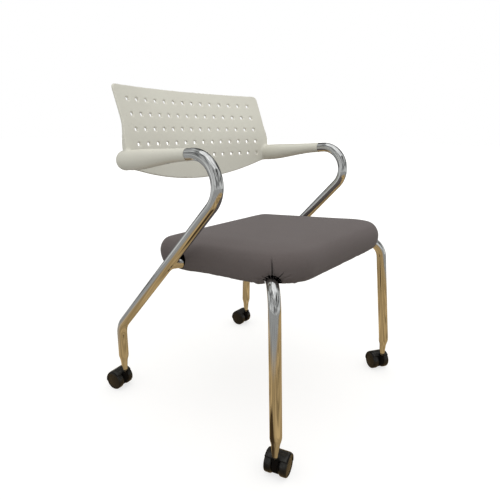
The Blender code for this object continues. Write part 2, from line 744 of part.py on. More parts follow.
def sleeve_rings():
    """Sections of an arm sleeve about the arm's line, from its mouth to its rounded rear end."""
    straight = SLEEVE_LENGTH - SLEEVE_END_ROUND
    stations = [(straight * step / SLEEVE_STEPS, 1.0) for step in range(SLEEVE_STEPS + 1)]
    for angle in SLEEVE_END_ANGLES:
        stations.append((straight + SLEEVE_END_ROUND * math.sin(angle), math.cos(angle)))
    rings = []
    for along, scale in stations:
        grown = ease((along - SLEEVE_GROWS_FROM) / SLEEVE_GROWS_OVER)
        rise = grown * (SLEEVE_REAR_HALF_HEIGHT - SLEEVE_MOUTH_RADIUS)
        half_height = scale * (SLEEVE_MOUTH_RADIUS + rise)
        half_width = scale * (SLEEVE_MOUTH_RADIUS + grown * (SLEEVE_REAR_HALF_WIDTH - SLEEVE_MOUTH_RADIUS))
        ring = []
        for step in range(SLEEVE_SIDES):
            angle = math.tau * step / SLEEVE_SIDES
            height = half_height * math.sin(angle) - SLEEVE_SAG * rise
            ring.append(Vector((half_width * math.cos(angle), along, height)))
        rings.append(ring)
    return rings


def back_half_width(z):
    """Half width of the panel, flaring out where it runs down into the sleeves."""
    return BACK_HALF_WIDTH + BACK_EDGE_FLARE * ease((ARM_HEIGHT + BACK_FLARE_START - z) / BACK_FLARE_HEIGHT)


def back_depth(x, z):
    """Place of the panel from front to rear: leaning back above the arms and bowed round the sitter."""
    rise = z - ARM_HEIGHT - BACK_LEAN_START
    lean = BACK_LEAN / 2 * (rise + math.hypot(rise, BACK_LEAN_EASE))
    up = (z - BACK_BOTTOM) / (BACK_TOP - BACK_BOTTOM)
    bow = BACK_BOW_BOTTOM + up * (BACK_BOW_TOP - BACK_BOW_BOTTOM)
    side_y = ARM_MOUTH.y + SLEEVE_LENGTH - BACK_SETBACK + lean
    return side_y + bow * (1 - (x / BACK_HALF_WIDTH) ** 2)


def back_lines():
    """Places across and up the panel where the sides of the holes lie."""
    half = BACK_HALF_WIDTH - HOLE_SIDE_MARGIN
    pitch = 2 * half / (HOLE_COLUMNS - 1)
    inner = []
    for column in range(HOLE_COLUMNS):
        middle = -half + pitch * column
        inner.extend((middle - HOLE_SIZE / 2, middle + HOLE_SIZE / 2))
    low = BACK_BOTTOM + HOLE_BOTTOM_MARGIN
    rise = (BACK_TOP - HOLE_TOP_MARGIN - low) / (HOLE_ROWS - 1)
    levels = []
    for row in range(HOLE_ROWS):
        levels.extend((low + rise * row - HOLE_SIZE / 2, low + rise * row + HOLE_SIZE / 2))
    return inner, levels


def back_panel_mesh():
    """The panel's front surface as a grid with one cell left out for each hole, and its edge points."""
    inner, levels = back_lines()
    corner_cuts = [share * BACK_CORNER for share in PANEL_CORNER_STEPS]
    columns = len(inner) + 2 * len(corner_cuts)
    rows = len(levels) + 3
    work = bmesh.new()
    bmesh.ops.create_grid(work, x_segments=columns - 1, y_segments=rows - 1, size=1.0)
    place = {}
    for vert in work.verts:
        column = round((vert.co.x + 1) / 2 * (columns - 1))
        row = round((vert.co.y + 1) / 2 * (rows - 1))
        place[vert] = (column, row)
    gone = []
    for face in work.faces:
        column = min(place[vert][0] for vert in face.verts) - len(corner_cuts)
        row = min(place[vert][1] for vert in face.verts) - 2
        in_columns = 0 <= column < len(inner) and column % 2 == 0
        in_rows = 0 <= row < len(levels) and row % 2 == 0
        if in_columns and in_rows:
            gone.append(face)
    for vert, (column, row) in place.items():
        level = BACK_TOP
        if 2 <= row < rows - 1:
            level = levels[row - 2]
        elif row < 2:
            level = BACK_BOTTOM
        edge = min(column, columns - 1 - column)
        if edge < len(corner_cuts):
            side = -1 if column < len(corner_cuts) else 1
            x = side * (back_half_width(level) - corner_cuts[edge])
        else:
            x = inner[column - len(corner_cuts)]
        if row < 2:
            bottom = BACK_BOTTOM + BACK_BOTTOM_LIFT * (x / BACK_HALF_WIDTH) ** 2
            level = bottom if row == 0 else (bottom + levels[0]) / 2
        elif row == rows - 1 and edge < len(corner_cuts):
            into = BACK_CORNER - corner_cuts[edge]
            level = BACK_TOP - BACK_CORNER + math.sqrt(BACK_CORNER**2 - into**2)
        vert.co = (x, back_depth(x, level), level)
    bmesh.ops.delete(work, geom=gone, context="FACES")
    bmesh.ops.reverse_faces(work, faces=[face for face in work.faces if face.normal.y > 0])
    work.verts.index_update()
    edge_points = []
    for vert, (column, row) in place.items():
        if column in (0, columns - 1) or row in (0, rows - 1):
            edge_points.append(vert.index)
    mesh = bpy.data.meshes.new("backrest")
    work.to_mesh(mesh)
    work.free()
    return mesh, edge_points


# Back: one moulding of perforated panel and two sleeves that slip over the tube spigots
panel_mesh, panel_edge = back_panel_mesh()
backrest = piece("backrest", panel_mesh, WHITE_PLASTIC, chair)
rim = backrest.vertex_groups.new(name="rim")
rim.add(panel_edge, 1.0, "ADD")
panel_wall = solidify(backrest, BACK_RIM_DEPTH)
panel_wall.vertex_group = rim.name
panel_wall.thickness_vertex_group = BACK_THICKNESS / BACK_RIM_DEPTH
spigot_bore = bore_radius(SPIGOT_RADIUS, HOLE_SIDES)
sleeve_mesh = loft_mesh("sleeve", sleeve_rings(), "flat", "flat")
for side_name in SIDES:
    boolean(backrest, cutter("sleeve_" + side_name, sleeve_mesh, arm_lines[side_name]), "UNION")
for side_name in SIDES:
    bore = cutter(
        "sleeve_bore_" + side_name,
        cylinder_mesh("sleeve_bore", spigot_bore, -SPIGOT_STEP, SPIGOT_LENGTH, HOLE_SIDES),
        arm_lines[side_name],
        Matrix.Rotation(-math.pi / 2, 4, "X"),
    )
    recess = cutter(
        "arm_screw_recess_" + side_name,
        cylinder_mesh(
            "arm_screw_recess",
            bore_radius(ARM_SCREW_HEAD_RADIUS, PIN_SIDES),
            ARM_SCREW_HOLE_BOTTOM,
            ARM_SCREW_HEAD_TOP + FIT_GAP,
            PIN_SIDES,
        ),
        arm_lines[side_name],
        Matrix.Translation((0, ARM_SCREW_SETBACK, 0)),
    )
    boolean(backrest, bore, "DIFFERENCE")
    boolean(backrest, screw_holes[side_name], "DIFFERENCE")
    boolean(backrest, recess, "DIFFERENCE")

# Screws that hold the sleeves on the spigots, sunk into the underside of the arms
arm_screw_mesh = turned_mesh(
    "arm_screw",
    [
        (0, -SPIGOT_RADIUS + 2 * TUBE_WALL),
        (ARM_SCREW_RADIUS, -SPIGOT_RADIUS + 2 * TUBE_WALL),
        (ARM_SCREW_RADIUS, ARM_SCREW_HEAD_TOP),
        (ARM_SCREW_HEAD_RADIUS, ARM_SCREW_HEAD_TOP),
        (ARM_SCREW_HEAD_RADIUS, ARM_SCREW_HEAD_TOP - ARM_SCREW_HEAD_HEIGHT),
        (0, ARM_SCREW_HEAD_TOP - ARM_SCREW_HEAD_HEIGHT),
    ],
    False,
    PIN_SIDES,
)
for side_name in SIDES:
    piece(
        "arm_screw_" + side_name,
        arm_screw_mesh,
        ZINC_STEEL,
        arm_lines[side_name],
        Matrix.Translation((0, ARM_SCREW_SETBACK, 0)),
    )

# Castor hood: an arched shell over both wheels and a hub web that carries stem and axle
AXLE = Vector((CASTOR_TRAIL, 0, WHEEL_RADIUS))
UPRIGHT = Matrix.Rotation(math.pi / 2, 4, "X")
WHEEL_OUTER = HUB_HALF_WIDTH + WHEEL_GAP + WHEEL_WIDTH


def axle_arc(radius, start, end, steps):
    """Points of an arc round the axle, seen from the side of the castor."""
    points = []
    for step in range(steps + 1):
        angle = start + (end - start) * step / steps
        points.append((AXLE.x + radius * math.cos(angle), AXLE.z + radius * math.sin(angle)))
    return points


shell_outline = axle_arc(HOOD_OUTER, HOOD_REAR_ANGLE, HOOD_FRONT_ANGLE, HOOD_STEPS)
shell_outline += axle_arc(HOOD_INNER, HOOD_FRONT_ANGLE, HOOD_REAR_ANGLE, HOOD_STEPS)
HUB_WRAP = HOOD_INNER + HOOD_THICKNESS / 2
HUB_FRONT = STEM_RADIUS + HUB_FRONT_WALL
hub_outline = [
    (-HUB_FRONT, STEM_BASE - HUB_FLOOR),
    (-HUB_FRONT, HUB_TOP - 2 * HUB_FRONT_CHAMFER),
    (-HUB_FRONT + HUB_FRONT_CHAMFER / 2, HUB_TOP),
    (HUB_FRONT, HUB_TOP),
]
hub_outline += axle_arc(HUB_WRAP, *HUB_TOP_ARC, HOOD_STEPS)
hub_outline += axle_arc(HUB_LOWER_RADIUS, *HUB_BOTTOM_ARC, HOOD_STEPS)
hood = piece("hood", flat_mesh("castor_shell", shell_outline, 2 * WHEEL_OUTER), BLACK_PLASTIC, None, UPRIGHT)
hub = cutter("castor_hub", flat_mesh("castor_hub", hub_outline, 2 * HUB_HALF_WIDTH), None, UPRIGHT)
stem_bore = cutter(
    "castor_stem_bore",
    cylinder_mesh("castor_stem_bore", bore_radius(STEM_RADIUS, PIN_SIDES), STEM_BASE, 2 * HUB_TOP, PIN_SIDES),
    None,
)
axle_bore = cutter(
    "castor_axle_bore",
    cylinder_mesh(
        "castor_axle_bore",
        bore_radius(AXLE_RADIUS, PIN_SIDES),
        -2 * HUB_HALF_WIDTH,
        2 * HUB_HALF_WIDTH,
        PIN_SIDES,
    ),
    None,
    Matrix.Translation(AXLE) @ UPRIGHT,
)
boolean(hood, hub, "UNION")
boolean(hood, stem_bore, "DIFFERENCE")
boolean(hood, axle_bore, "DIFFERENCE")
bpy.context.view_layer.update()
hood_matrix = hood.matrix_world.copy()
hood_mesh = finished(hood)
hood_mesh.transform(hood_matrix)
for tool in (hub, stem_bore, axle_bore):
    bpy.data.objects.remove(tool)

# Castor wheels, turned about the axle, with flat tread facets so that one rests on the floor
FACET_RADIUS = WHEEL_RADIUS / math.cos(math.pi / WHEEL_SIDES)
WHEEL_INNER = HUB_HALF_WIDTH + WHEEL_GAP
AXLE_BORE = bore_radius(AXLE_RADIUS, WHEEL_SIDES)
wheel_mesh = turned_mesh(
    "castor_wheel",
    [
        (0, WHEEL_OUTER - WHEEL_DISC_RECESS),
        (FACET_RADIUS - WHEEL_EDGE - 2 * WHEEL_RIM, WHEEL_OUTER - WHEEL_DISC_RECESS),
        (FACET_RADIUS - WHEEL_EDGE - WHEEL_RIM, WHEEL_OUTER),
        (FACET_RADIUS - WHEEL_EDGE, WHEEL_OUTER),
        (FACET_RADIUS, WHEEL_OUTER - WHEEL_EDGE),
        (FACET_RADIUS, WHEEL_INNER),
        (AXLE_BORE, WHEEL_INNER),
        (AXLE_BORE, WHEEL_OUTER - WHEEL_CAP),
        (0, WHEEL_OUTER - WHEEL_CAP),
    ],
    False,
    WHEEL_SIDES,
)
AXLE_HALF_LENGTH = WHEEL_OUTER - WHEEL_CAP - FIT_GAP
axle_mesh = cylinder_mesh("castor_axle", AXLE_RADIUS, -AXLE_HALF_LENGTH, AXLE_HALF_LENGTH, PIN_SIDES)

# Castor stem with its collar, and the socket that lines the leg's drawn-in end
stem_mesh = turned_mesh(
    "castor_stem",
    [
        (0, LEG_END + STEM_GRIP),
        (STEM_RADIUS, LEG_END + STEM_GRIP),
        (STEM_RADIUS, COLLAR_TOP),
        (COLLAR_RADIUS, COLLAR_TOP),
        (COLLAR_RADIUS, HUB_TOP + FIT_GAP),
        (STEM_RADIUS, HUB_TOP + FIT_GAP),
        (STEM_RADIUS, STEM_BASE + FIT_GAP),
        (0, STEM_BASE + FIT_GAP),
    ],
    False,
    PIN_SIDES,
)
SOCKET_BORE = bore_radius(STEM_RADIUS, PIN_SIDES)
SOCKET_RADIUS = (SWAGE_RADIUS - TUBE_WALL) * math.cos(math.pi / TUBE_SIDES) - FIT_GAP
socket_mesh = turned_mesh(
    "castor_socket",
    [
        (SOCKET_RADIUS, LEG_END + SOCKET_LENGTH),
        (SOCKET_RADIUS, LEG_END - FIT_GAP),
        (SWAGE_RADIUS, LEG_END - FIT_GAP),
        (SWAGE_RADIUS, LEG_END - FIT_GAP - SOCKET_FLANGE),
        (SOCKET_BORE, LEG_END - FIT_GAP - SOCKET_FLANGE),
        (SOCKET_BORE, LEG_END + SOCKET_LENGTH),
    ],
    True,
    PIN_SIDES,
)

# Each castor on a swivel frame at its leg's axis, turned the way it trails
for end_name, foot in {"front": FRONT_FOOT, "rear": REAR_FOOT}.items():
    for side_name, side in SIDES.items():
        place = f"{end_name}_{side_name}"
        name = "castor_" + place
        stand = Matrix.Translation((side * foot.x, foot.y, 0))
        swivel = empty(name + "_swivel", chair, stand @ Matrix.Rotation(CASTOR_HEADINGS[place], 4, "Z"))
        piece(name + "_socket", socket_mesh, BLACK_PLASTIC, chair, stand)
        piece(name + "_stem", stem_mesh, ZINC_STEEL, swivel)
        piece(name + "_hood", hood_mesh, BLACK_PLASTIC, swivel)
        on_axle = Matrix.Translation(AXLE)
        piece(name + "_axle", axle_mesh, ZINC_STEEL, swivel, on_axle @ UPRIGHT)
        half_facet = Matrix.Rotation(math.pi / WHEEL_SIDES, 4, "Z")
        piece(name + "_wheel_1", wheel_mesh, BLACK_PLASTIC, swivel, on_axle @ UPRIGHT @ half_facet)
        other_way = Matrix.Rotation(-math.pi / 2, 4, "X")
        piece(name + "_wheel_2", wheel_mesh, BLACK_PLASTIC, swivel, on_axle @ other_way @ half_facet)
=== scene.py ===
"""Conference armchair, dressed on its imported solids.

Metres, +Z up, floor at z = 0. The sitter faces -Y, so the sitter's right hand is at -X.
The file follows the chair as it is put together: frame, castors, back, seat, then the studio.
"""

import math

import bmesh
import bpy
from mathutils import Matrix, Vector, noise


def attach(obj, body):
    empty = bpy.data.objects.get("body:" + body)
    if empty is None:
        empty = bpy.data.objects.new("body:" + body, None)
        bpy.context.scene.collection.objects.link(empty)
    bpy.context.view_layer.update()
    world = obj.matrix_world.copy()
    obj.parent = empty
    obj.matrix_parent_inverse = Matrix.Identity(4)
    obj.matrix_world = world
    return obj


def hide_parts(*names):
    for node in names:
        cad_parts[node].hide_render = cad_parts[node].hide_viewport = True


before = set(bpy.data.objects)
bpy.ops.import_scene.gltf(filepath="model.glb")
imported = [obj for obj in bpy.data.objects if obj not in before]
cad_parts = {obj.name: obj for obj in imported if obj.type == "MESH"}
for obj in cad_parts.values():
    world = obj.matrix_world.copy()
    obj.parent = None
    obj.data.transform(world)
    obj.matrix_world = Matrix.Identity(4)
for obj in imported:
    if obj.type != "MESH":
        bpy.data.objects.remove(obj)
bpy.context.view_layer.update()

# Side tubes. Each is one length of 25 mm steel tube, bent cold into arm, forward bend, diagonal and rear leg,
# with its foot drawn in for the castor. A thinner spigot at the arm's end goes into the back's sleeve.
CENTRE_X = -0.0135
TUBE_RADIUS = 0.0125
TUBE_SIDES = 48
BEND_DEGREES = 4
BEND_STEPS = 6
SIDE_X = 0.259
ARM_MOUTH = Vector((SIDE_X, -0.0209, 0.6302))
ARM_SLOPE = math.radians(5)
ARM_BACKWARD = Vector((0, math.cos(ARM_SLOPE), -math.sin(ARM_SLOPE)))
ARM_CORNER = Vector((SIDE_X, -0.1897, 0.64497))
ARM_BEND = 0.060
REAR_KNEE = Vector((SIDE_X, 0.240, 0.1816))
REAR_KNEE_BEND = 0.0563
LEG_END = 0.0547
SPIGOT_RADIUS = 0.0105
SPIGOT_LENGTH = 0.1517
FOOT_HEIGHT = 0.0432
FOOT_TOP = LEG_END + FOOT_HEIGHT
FOOT_SHOULDER = 0.024
FOOT_RADIUS = 0.0070
FOOT_TAPER = 0.07
FOOT_STEPS = 16
FOOT_LIP = 0.0007
MERGE_WITHIN = 1e-6
SIDES = {"right": -1, "left": 1}


def linear(code):
    """An sRGB hex colour as the linear values that a shader takes."""
    parts = [int(code[i : i + 2], 16) / 255 for i in (1, 3, 5)]
    return (*[p / 12.92 if p <= 0.04045 else ((p + 0.055) / 1.055) ** 2.4 for p in parts], 1.0)


def surface(name, values):
    """A new material and its Principled shader, with the values that hold all over it."""
    made = bpy.data.materials.new(name)
    made.use_nodes = True
    shader = made.node_tree.nodes["Principled BSDF"]
    for socket, value in values.items():
        shader.inputs[socket].default_value = value
    return made, shader


def add(shader, kind, values=None, links=None, to=None, out=0, **settings):
    """Adds a node beside a shader: its options, its values, what feeds it, and the shader socket it feeds."""
    made = shader.id_data.nodes.new(kind)
    for name, value in settings.items():
        setattr(made, name, value)
    for socket, value in (values or {}).items():
        made.inputs[socket].default_value = value
    for socket, source in (links or {}).items():
        shader.id_data.links.new(source, made.inputs[socket])
    if to:
        shader.id_data.links.new(made.outputs[out], shader.inputs[to])
    return made.outputs[out]


# Bright chrome on polished steel: a near mirror, a little cool, with faint smears from hands
chrome, shader = surface("chromed_steel", {"Base Color": linear("#C4C5C5"), "Metallic": 1.0})
place = add(shader, "ShaderNodeTexCoord", out=3)
smears = add(shader, "ShaderNodeTexNoise", {"Scale": 1 / 0.022, "Detail": 5.0}, {"Vector": place})
gloss = {"From Min": 0.35, "From Max": 0.75, "To Min": 0.05, "To Max": 0.13}
add(shader, "ShaderNodeMapRange", gloss, {"Value": smears}, to="Roughness")


def of_kind(parts, kind):
    """The parts of a mesh that are of one kind."""
    return [part for part in parts if isinstance(part, kind)]


def drawn_on(work, edges, matrix):
    """Draws a ring one step on: the new ring is the old one moved by a matrix."""
    made = bmesh.ops.extrude_edge_only(work, edges=edges)["geom"]
    verts = set(of_kind(made, bmesh.types.BMVert))
    bmesh.ops.transform(work, matrix=matrix, verts=list(verts))
    return [edge for edge in of_kind(made, bmesh.types.BMEdge) if verts.issuperset(edge.verts)]


def hoop(work, sides, radius, matrix):
    """The edges of a new ring."""
    ring = bmesh.ops.create_circle(work, segments=sides, radius=radius, matrix=matrix)["verts"]
    return list({edge for vert in ring for edge in vert.link_edges})


def facing(direction):
    """Matrix that turns +Z to a direction."""
    return direction.to_track_quat("Z", "Y").to_matrix().to_4x4()


def bent_tube(work, corners, bends, radius):
    """Draws a tube as a bender does: a ring run down each straight and spun round each bend."""
    here = corners[0]
    first = hoop(work, TUBE_SIDES, radius, Matrix.Translation(here) @ facing(corners[1] - here))
    edges = first
    for before, corner, after, bend in zip(corners, corners[1:], corners[2:], bends):
        into = (corner - before).normalized()
        out = (after - corner).normalized()
        angle = into.angle(out)
        reach = bend * math.tan(angle / 2)
        axis = into.cross(out).normalized()
        start = corner - into * reach
        edges = drawn_on(work, edges, Matrix.Translation(start - here))
        verts = list({vert for edge in edges for vert in edge.verts})
        spun = bmesh.ops.spin(
            work,
            geom=verts + edges,
            cent=start + axis.cross(into) * bend,
            axis=axis,
            angle=angle,
            steps=max(BEND_STEPS, math.ceil(math.degrees(angle) / BEND_DEGREES)),
        )
        edges = of_kind(spun["geom_last"], bmesh.types.BMEdge)
        here = corner + out * reach
    return first, drawn_on(work, edges, Matrix.Translation(corners[-1] - here))


def eased(share):
    """A smooth step from 0 to 1."""
    share = min(max(share, 0.0), 1.0)
    return share * share * (3 - 2 * share)


def shrunk(middle, ratio):
    """Matrix that scales a ring about its middle."""
    return Matrix.Translation(middle) @ Matrix.Scale(ratio, 4) @ Matrix.Translation(-middle)


def foot_radius(height):
    """Radius of a leg's foot at a height above its end: a slow taper below a rounded shoulder."""
    drawn = TUBE_RADIUS - FOOT_RADIUS - FOOT_TAPER * FOOT_HEIGHT
    shoulder = eased((height - FOOT_SHOULDER) / (FOOT_HEIGHT - FOOT_SHOULDER))
    return FOOT_RADIUS + FOOT_TAPER * height + drawn * shoulder


def drawn_in_foot(work, edges, top):
    """Draws a leg's end in to its foot, which takes the castor's socket, and closes it over a rounded lip."""
    radius, middle = TUBE_RADIUS, top.copy()
    heights = [FOOT_LIP + (FOOT_HEIGHT - FOOT_LIP) * step / FOOT_STEPS for step in range(FOOT_STEPS)]
    rings = [(height, foot_radius(height)) for height in reversed(heights)]
    for height, size in rings + [(0.0, FOOT_RADIUS - FOOT_LIP)]:
        move = Vector((0, 0, LEG_END + height - middle.z))
        edges = drawn_on(work, edges, Matrix.Translation(move) @ shrunk(middle, size / radius))
        radius, middle = size, middle + move
    bmesh.ops.contextual_create(work, geom=edges)


def made_of(work, name):
    """An object made of a bmesh, which is used up."""
    mesh = bpy.data.meshes.new(name)
    work.to_mesh(mesh)
    work.free()
    made = bpy.data.objects.new(name, mesh)
    bpy.context.scene.collection.objects.link(made)
    return made


def piece(work, name, look, body, nodes=(), sharp=35):
    """Makes a finished piece of a bmesh, riding on its body in place of the solids that it stands for."""
    bmesh.ops.remove_doubles(work, verts=work.verts, dist=MERGE_WITHIN)
    bmesh.ops.recalc_face_normals(work, faces=work.faces)
    made = made_of(work, name)
    made.data.shade_smooth()
    made.data.set_sharp_from_angle(angle=math.radians(sharp))
    made.data.materials.append(look)
    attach(made, body)
    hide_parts(*nodes)
    return made


def on_side(points, side):
    """Points of the chair's left side, or their mirror images on the right, set in the part's frame."""
    return [Vector((CENTRE_X + side * point.x, point.y, point.z)) for point in points]


for side_name, side in SIDES.items():
    work = bmesh.new()
    line = on_side([ARM_MOUTH, ARM_CORNER, REAR_KNEE, Vector((SIDE_X, REAR_KNEE.y, FOOT_TOP))], side)
    mouth, foot = bent_tube(work, line, [ARM_BEND, REAR_KNEE_BEND], TUBE_RADIUS)
    drawn_in_foot(work, foot, line[-1])
    step = drawn_on(work, mouth, shrunk(line[0], SPIGOT_RADIUS / TUBE_RADIUS))
    end = drawn_on(work, step, Matrix.Translation(ARM_BACKWARD * SPIGOT_LENGTH))
    bmesh.ops.contextual_create(work, geom=end)
    name = "side_tube_" + side_name
    piece(work, "chromed_" + name, chrome, "frame", [name])

# Front legs. The same tube, bent from the leg in under the seat, back along it as a rail, and out again to
# the diagonal, where its end is notched to the side tube and welded all round before chroming.
BRANCH_END = Vector((SIDE_X, 0.0475, 0.3892))
RAIL_X = 0.1705
RAIL_REAR = Vector((RAIL_X, 0.00625, 0.38986))
RAIL_FRONT = Vector((RAIL_X, -0.16266, 0.39270))
FRONT_TOP = Vector((0.24936, -0.23269, 0.39388))
FRONT_FOOT = Vector((0.26978, -0.26059, LEG_END))
ANKLE_HEIGHT = 0.1027
RAIL_BEND = 0.045
FRONT_BEND = 0.0516
ANKLE_BEND = 0.080
DIAGONAL = (REAR_KNEE - ARM_CORNER).normalized()
NOTCH_FROM = 3 * TUBE_RADIUS
WELD = 0.0075
WELD_SUNK = 0.0002

# The weld's rings: how far each spreads, as a share of the weld, and how far into the side tube it goes
WELD_RINGS = [(0.0, -WELD), (0.25, -0.35 * WELD), (1.0, WELD_SUNK)]


def reach_to_tube(start, heading, tube):
    """How far a point goes along a heading to the surface of the diagonal that runs by a given place."""
    off = start - tube
    off -= DIAGONAL * off.dot(DIAGONAL)
    across = heading - DIAGONAL * heading.dot(DIAGONAL)
    half = off.dot(across)
    inside = half * half - across.length_squared * (off.length_squared - TUBE_RADIUS**2)
    return (-half - math.sqrt(max(inside, 0.0))) / across.length_squared


for side_name, side in SIDES.items():
    work = bmesh.new()
    foot_top = Vector((FRONT_FOOT.x, FRONT_FOOT.y, FOOT_TOP))
    ankle = Vector((FRONT_FOOT.x, FRONT_FOOT.y, ANKLE_HEIGHT))
    line = on_side([BRANCH_END, RAIL_REAR, RAIL_FRONT, FRONT_TOP, ankle, foot_top], side)
    branch_end = line[0]
    heading = (branch_end - line[1]).normalized()
    start = branch_end - heading * NOTCH_FROM
    bends = [RAIL_BEND, RAIL_BEND, FRONT_BEND, ANKLE_BEND]
    mouth, foot = bent_tube(work, [start] + line[1:], bends, TUBE_RADIUS)
    drawn_in_foot(work, foot, line[-1])
    for flare, sink in WELD_RINGS:
        mouth = drawn_on(work, mouth, Matrix())
        for vert in {vert for edge in mouth for vert in edge.verts}:
            outward = vert.co - start
            outward -= heading * outward.dot(heading)
            outward.normalize()
            level = abs(outward.dot(DIAGONAL))
            rim = start + outward * (TUBE_RADIUS + flare * WELD * level)
            vert.co = rim + heading * (reach_to_tube(rim, heading, branch_end) + sink * level)
    name = "front_leg_" + side_name
    piece(work, "chromed_" + name, chrome, "frame", [name])

# Cross rails, brackets, screws and tee nuts under the seat, the screws under the arms and the castors' axles.
# Thin tube, plate and turned steel, zinc plated after welding and drilling, and left as the CAD has them.
ZINC_PIECES = ("cross_rail", "seat_bracket", "seat_screw", "tee_nut", "arm_screw")

# Zinc plate: a pale grey metal, half dull, with small clouds of crystal that differ in shine
zinc, shader = surface("zinc_plated_steel", {"Base Color": linear("#B9BBBA"), "Metallic": 1.0})
place = add(shader, "ShaderNodeTexCoord", out=3)
spangle = add(shader, "ShaderNodeTexNoise", {"Scale": 1 / 0.004, "Detail": 3.0}, {"Vector": place})
gloss = {"From Min": 0.3, "From Max": 0.7, "To Min": 0.28, "To Max": 0.46}
add(shader, "ShaderNodeMapRange", gloss, {"Value": spangle}, to="Roughness")
for name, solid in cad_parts.items():
    if name.startswith(ZINC_PIECES) or name.endswith("_axle"):
        solid.material_slots[0].material = zinc

# Castors. A moulded hood and hub in black nylon, two moulded wheels on a steel axle, and a steel stem that
# turns in a nylon socket pressed into the leg's foot.
WHEEL_RADIUS = 0.024
WHEEL_INNER = 0.0080
WHEEL_OUTER = 0.0250
WHEEL_BORE = 0.0032
WHEEL_ROUND = 0.0042
WHEEL_DISC = 0.0190
WHEEL_DISC_SUNK = 0.0011
WHEEL_DISC_STEPS = 4
WHEEL_STEPS = 72
CASTOR_TRAIL = 0.020
HOOD_INNER = 0.02481
HOOD_OUTER = 0.02631
HOOD_REAR = math.radians(-12)
HOOD_SWEEP = math.radians(144)
HOOD_STEPS = 48
HOOD_FLAT = 0.0185
HOOD_DROOP = 0.0024
HOOD_EDGE = 0.0005
HUB_HALF_WIDTH = 0.0075
HUB_TOP = 0.050
HUB_FLOOR = 0.0175
HUB_TOE = 0.0045
HUB_RADIUS = 0.0214
HUB_EDGE = 0.0009
HUB_SIDES = 64
STEM_RADIUS = 0.005
STEM_FOOT = HUB_TOP - 0.020
STEM_TOP = LEG_END + 0.022
STEM_POINT = 0.002
STEM_STEPS = 40
COLLAR_RADIUS = 0.0057
COLLAR_FOOT = HUB_TOP + 0.0003
COLLAR_TOP = HUB_TOP + 0.0017
COLLAR_EDGE = 0.0003
SOCKET_BORE = 0.0053
SOCKET_NECK = 0.0061
SOCKET_TOP = LEG_END + 0.026
FLANGE_RADIUS = 0.0074
FLANGE_FOOT = LEG_END - 0.0027
FLANGE_TOP = LEG_END - 0.0003
FLANGE_EDGE = 0.0004
X, Y, Z = Vector((1, 0, 0)), Vector((0, 1, 0)), Vector((0, 0, 1))
AXLE = Vector((CASTOR_TRAIL, 0, WHEEL_RADIUS))
CASTORS = {
    "front_right": (FRONT_FOOT, -1, math.radians(14.0)),
    "front_left": (FRONT_FOOT, 1, math.radians(56.0)),
    "rear_right": (REAR_KNEE, -1, math.radians(99.5)),
    "rear_left": (REAR_KNEE, 1, math.radians(92.0)),
}

# Moulded black nylon: deep black with a satin skin, a fine mould grain, grey dust low down, and grey on top
# that is painted sheen
nylon, shader = surface("moulded_black_nylon", {"IOR": 1.53, "Specular IOR Level": 0.22})
place = add(shader, "ShaderNodeTexCoord", out=3)
height = add(shader, "ShaderNodeSeparateXYZ", links={"Vector": place}, out=2)
cloud = add(shader, "ShaderNodeTexNoise", {"Scale": 1 / 0.007, "Detail": 4.0}, {"Vector": place})
by_floor = {"From Min": 0.0, "From Max": 0.03, "To Min": 0.22, "To Max": 0.06}
low = add(shader, "ShaderNodeMapRange", by_floor, {"Value": height})
# Faces that look up are greyed by their slope: painted sheen, where the light falls from above
normal = add(shader, "ShaderNodeTexCoord", out=1)
upward = add(shader, "ShaderNodeSeparateXYZ", links={"Vector": normal}, out=2)
top_sheen_span = {"From Min": -0.1, "From Max": 0.9, "To Min": 0.0, "To Max": 0.42}
painted_top_sheen = add(shader, "ShaderNodeMapRange", top_sheen_span, {"Value": upward})
dust_and_sheen = add(shader, "ShaderNodeMath", links={0: low, 1: painted_top_sheen}, operation="ADD")
dust_and_sheen_cloud = add(shader, "ShaderNodeMath", links={0: dust_and_sheen, 1: cloud}, operation="MULTIPLY")
tones = {6: linear("#0D0D0E"), 7: linear("#5C5A54")}
add(shader, "ShaderNodeMix", tones, {0: dust_and_sheen_cloud}, to="Base Color", out=2, data_type="RGBA")
gloss = {"From Min": 0.3, "From Max": 0.7, "To Min": 0.17, "To Max": 0.30}
add(shader, "ShaderNodeMapRange", gloss, {"Value": cloud}, to="Roughness")
grain = add(shader, "ShaderNodeTexNoise", {"Scale": 1 / 0.0012, "Detail": 2.0}, {"Vector": place})
add(shader, "ShaderNodeBump", {"Strength": 0.12, "Distance": 0.0002}, {"Height": grain}, to="Normal")

# The hub's nylon is rough and takes no shine, and it is darker than the hood's: painted shade, so that it
# reads as a dark wedge between the wheels
hub_painted_shade_nylon, shader = surface("black_nylon_painted_shade", {"IOR": 1.53, "Specular IOR Level": 0.1, "Roughness": 0.85})
place = add(shader, "ShaderNodeTexCoord", out=3)
cloud = add(shader, "ShaderNodeTexNoise", {"Scale": 1 / 0.004, "Detail": 3.0}, {"Vector": place})
tones = {6: linear("#070606"), 7: linear("#12100F")}
add(shader, "ShaderNodeMix", tones, {0: cloud}, to="Base Color", out=2, data_type="RGBA")


def turned(work, profile, middle, axis, steps, closed=False):
    """Turns a profile of (radius, along) points right round an axis that lies across X."""
    verts = [work.verts.new(middle + X * radius + axis * along) for radius, along in profile]
    pairs = list(zip(verts, verts[1:] + verts[:1])) if closed else list(zip(verts, verts[1:]))
    edges = [work.edges.new(pair) for pair in pairs]
    bmesh.ops.spin(
        work, geom=verts + edges, cent=middle, axis=axis, angle=math.tau, steps=steps, use_merge=True
    )


def softened(work, edges, width, segments):
    """Rounds edges over by a small width."""
    bmesh.ops.bevel(
        work,
        geom=edges,
        offset=width,
        offset_type="OFFSET",
        affect="EDGES",
        segments=segments,
        profile=0.5,
        material=-1,
        clamp_overlap=True,
    )


def crisp(work, limit=50):
    """The edges of a shape that turn by more than a limit."""
    whole = [edge for edge in work.edges if edge.is_manifold]
    return [edge for edge in whole if edge.calc_face_angle() > math.radians(limit)]


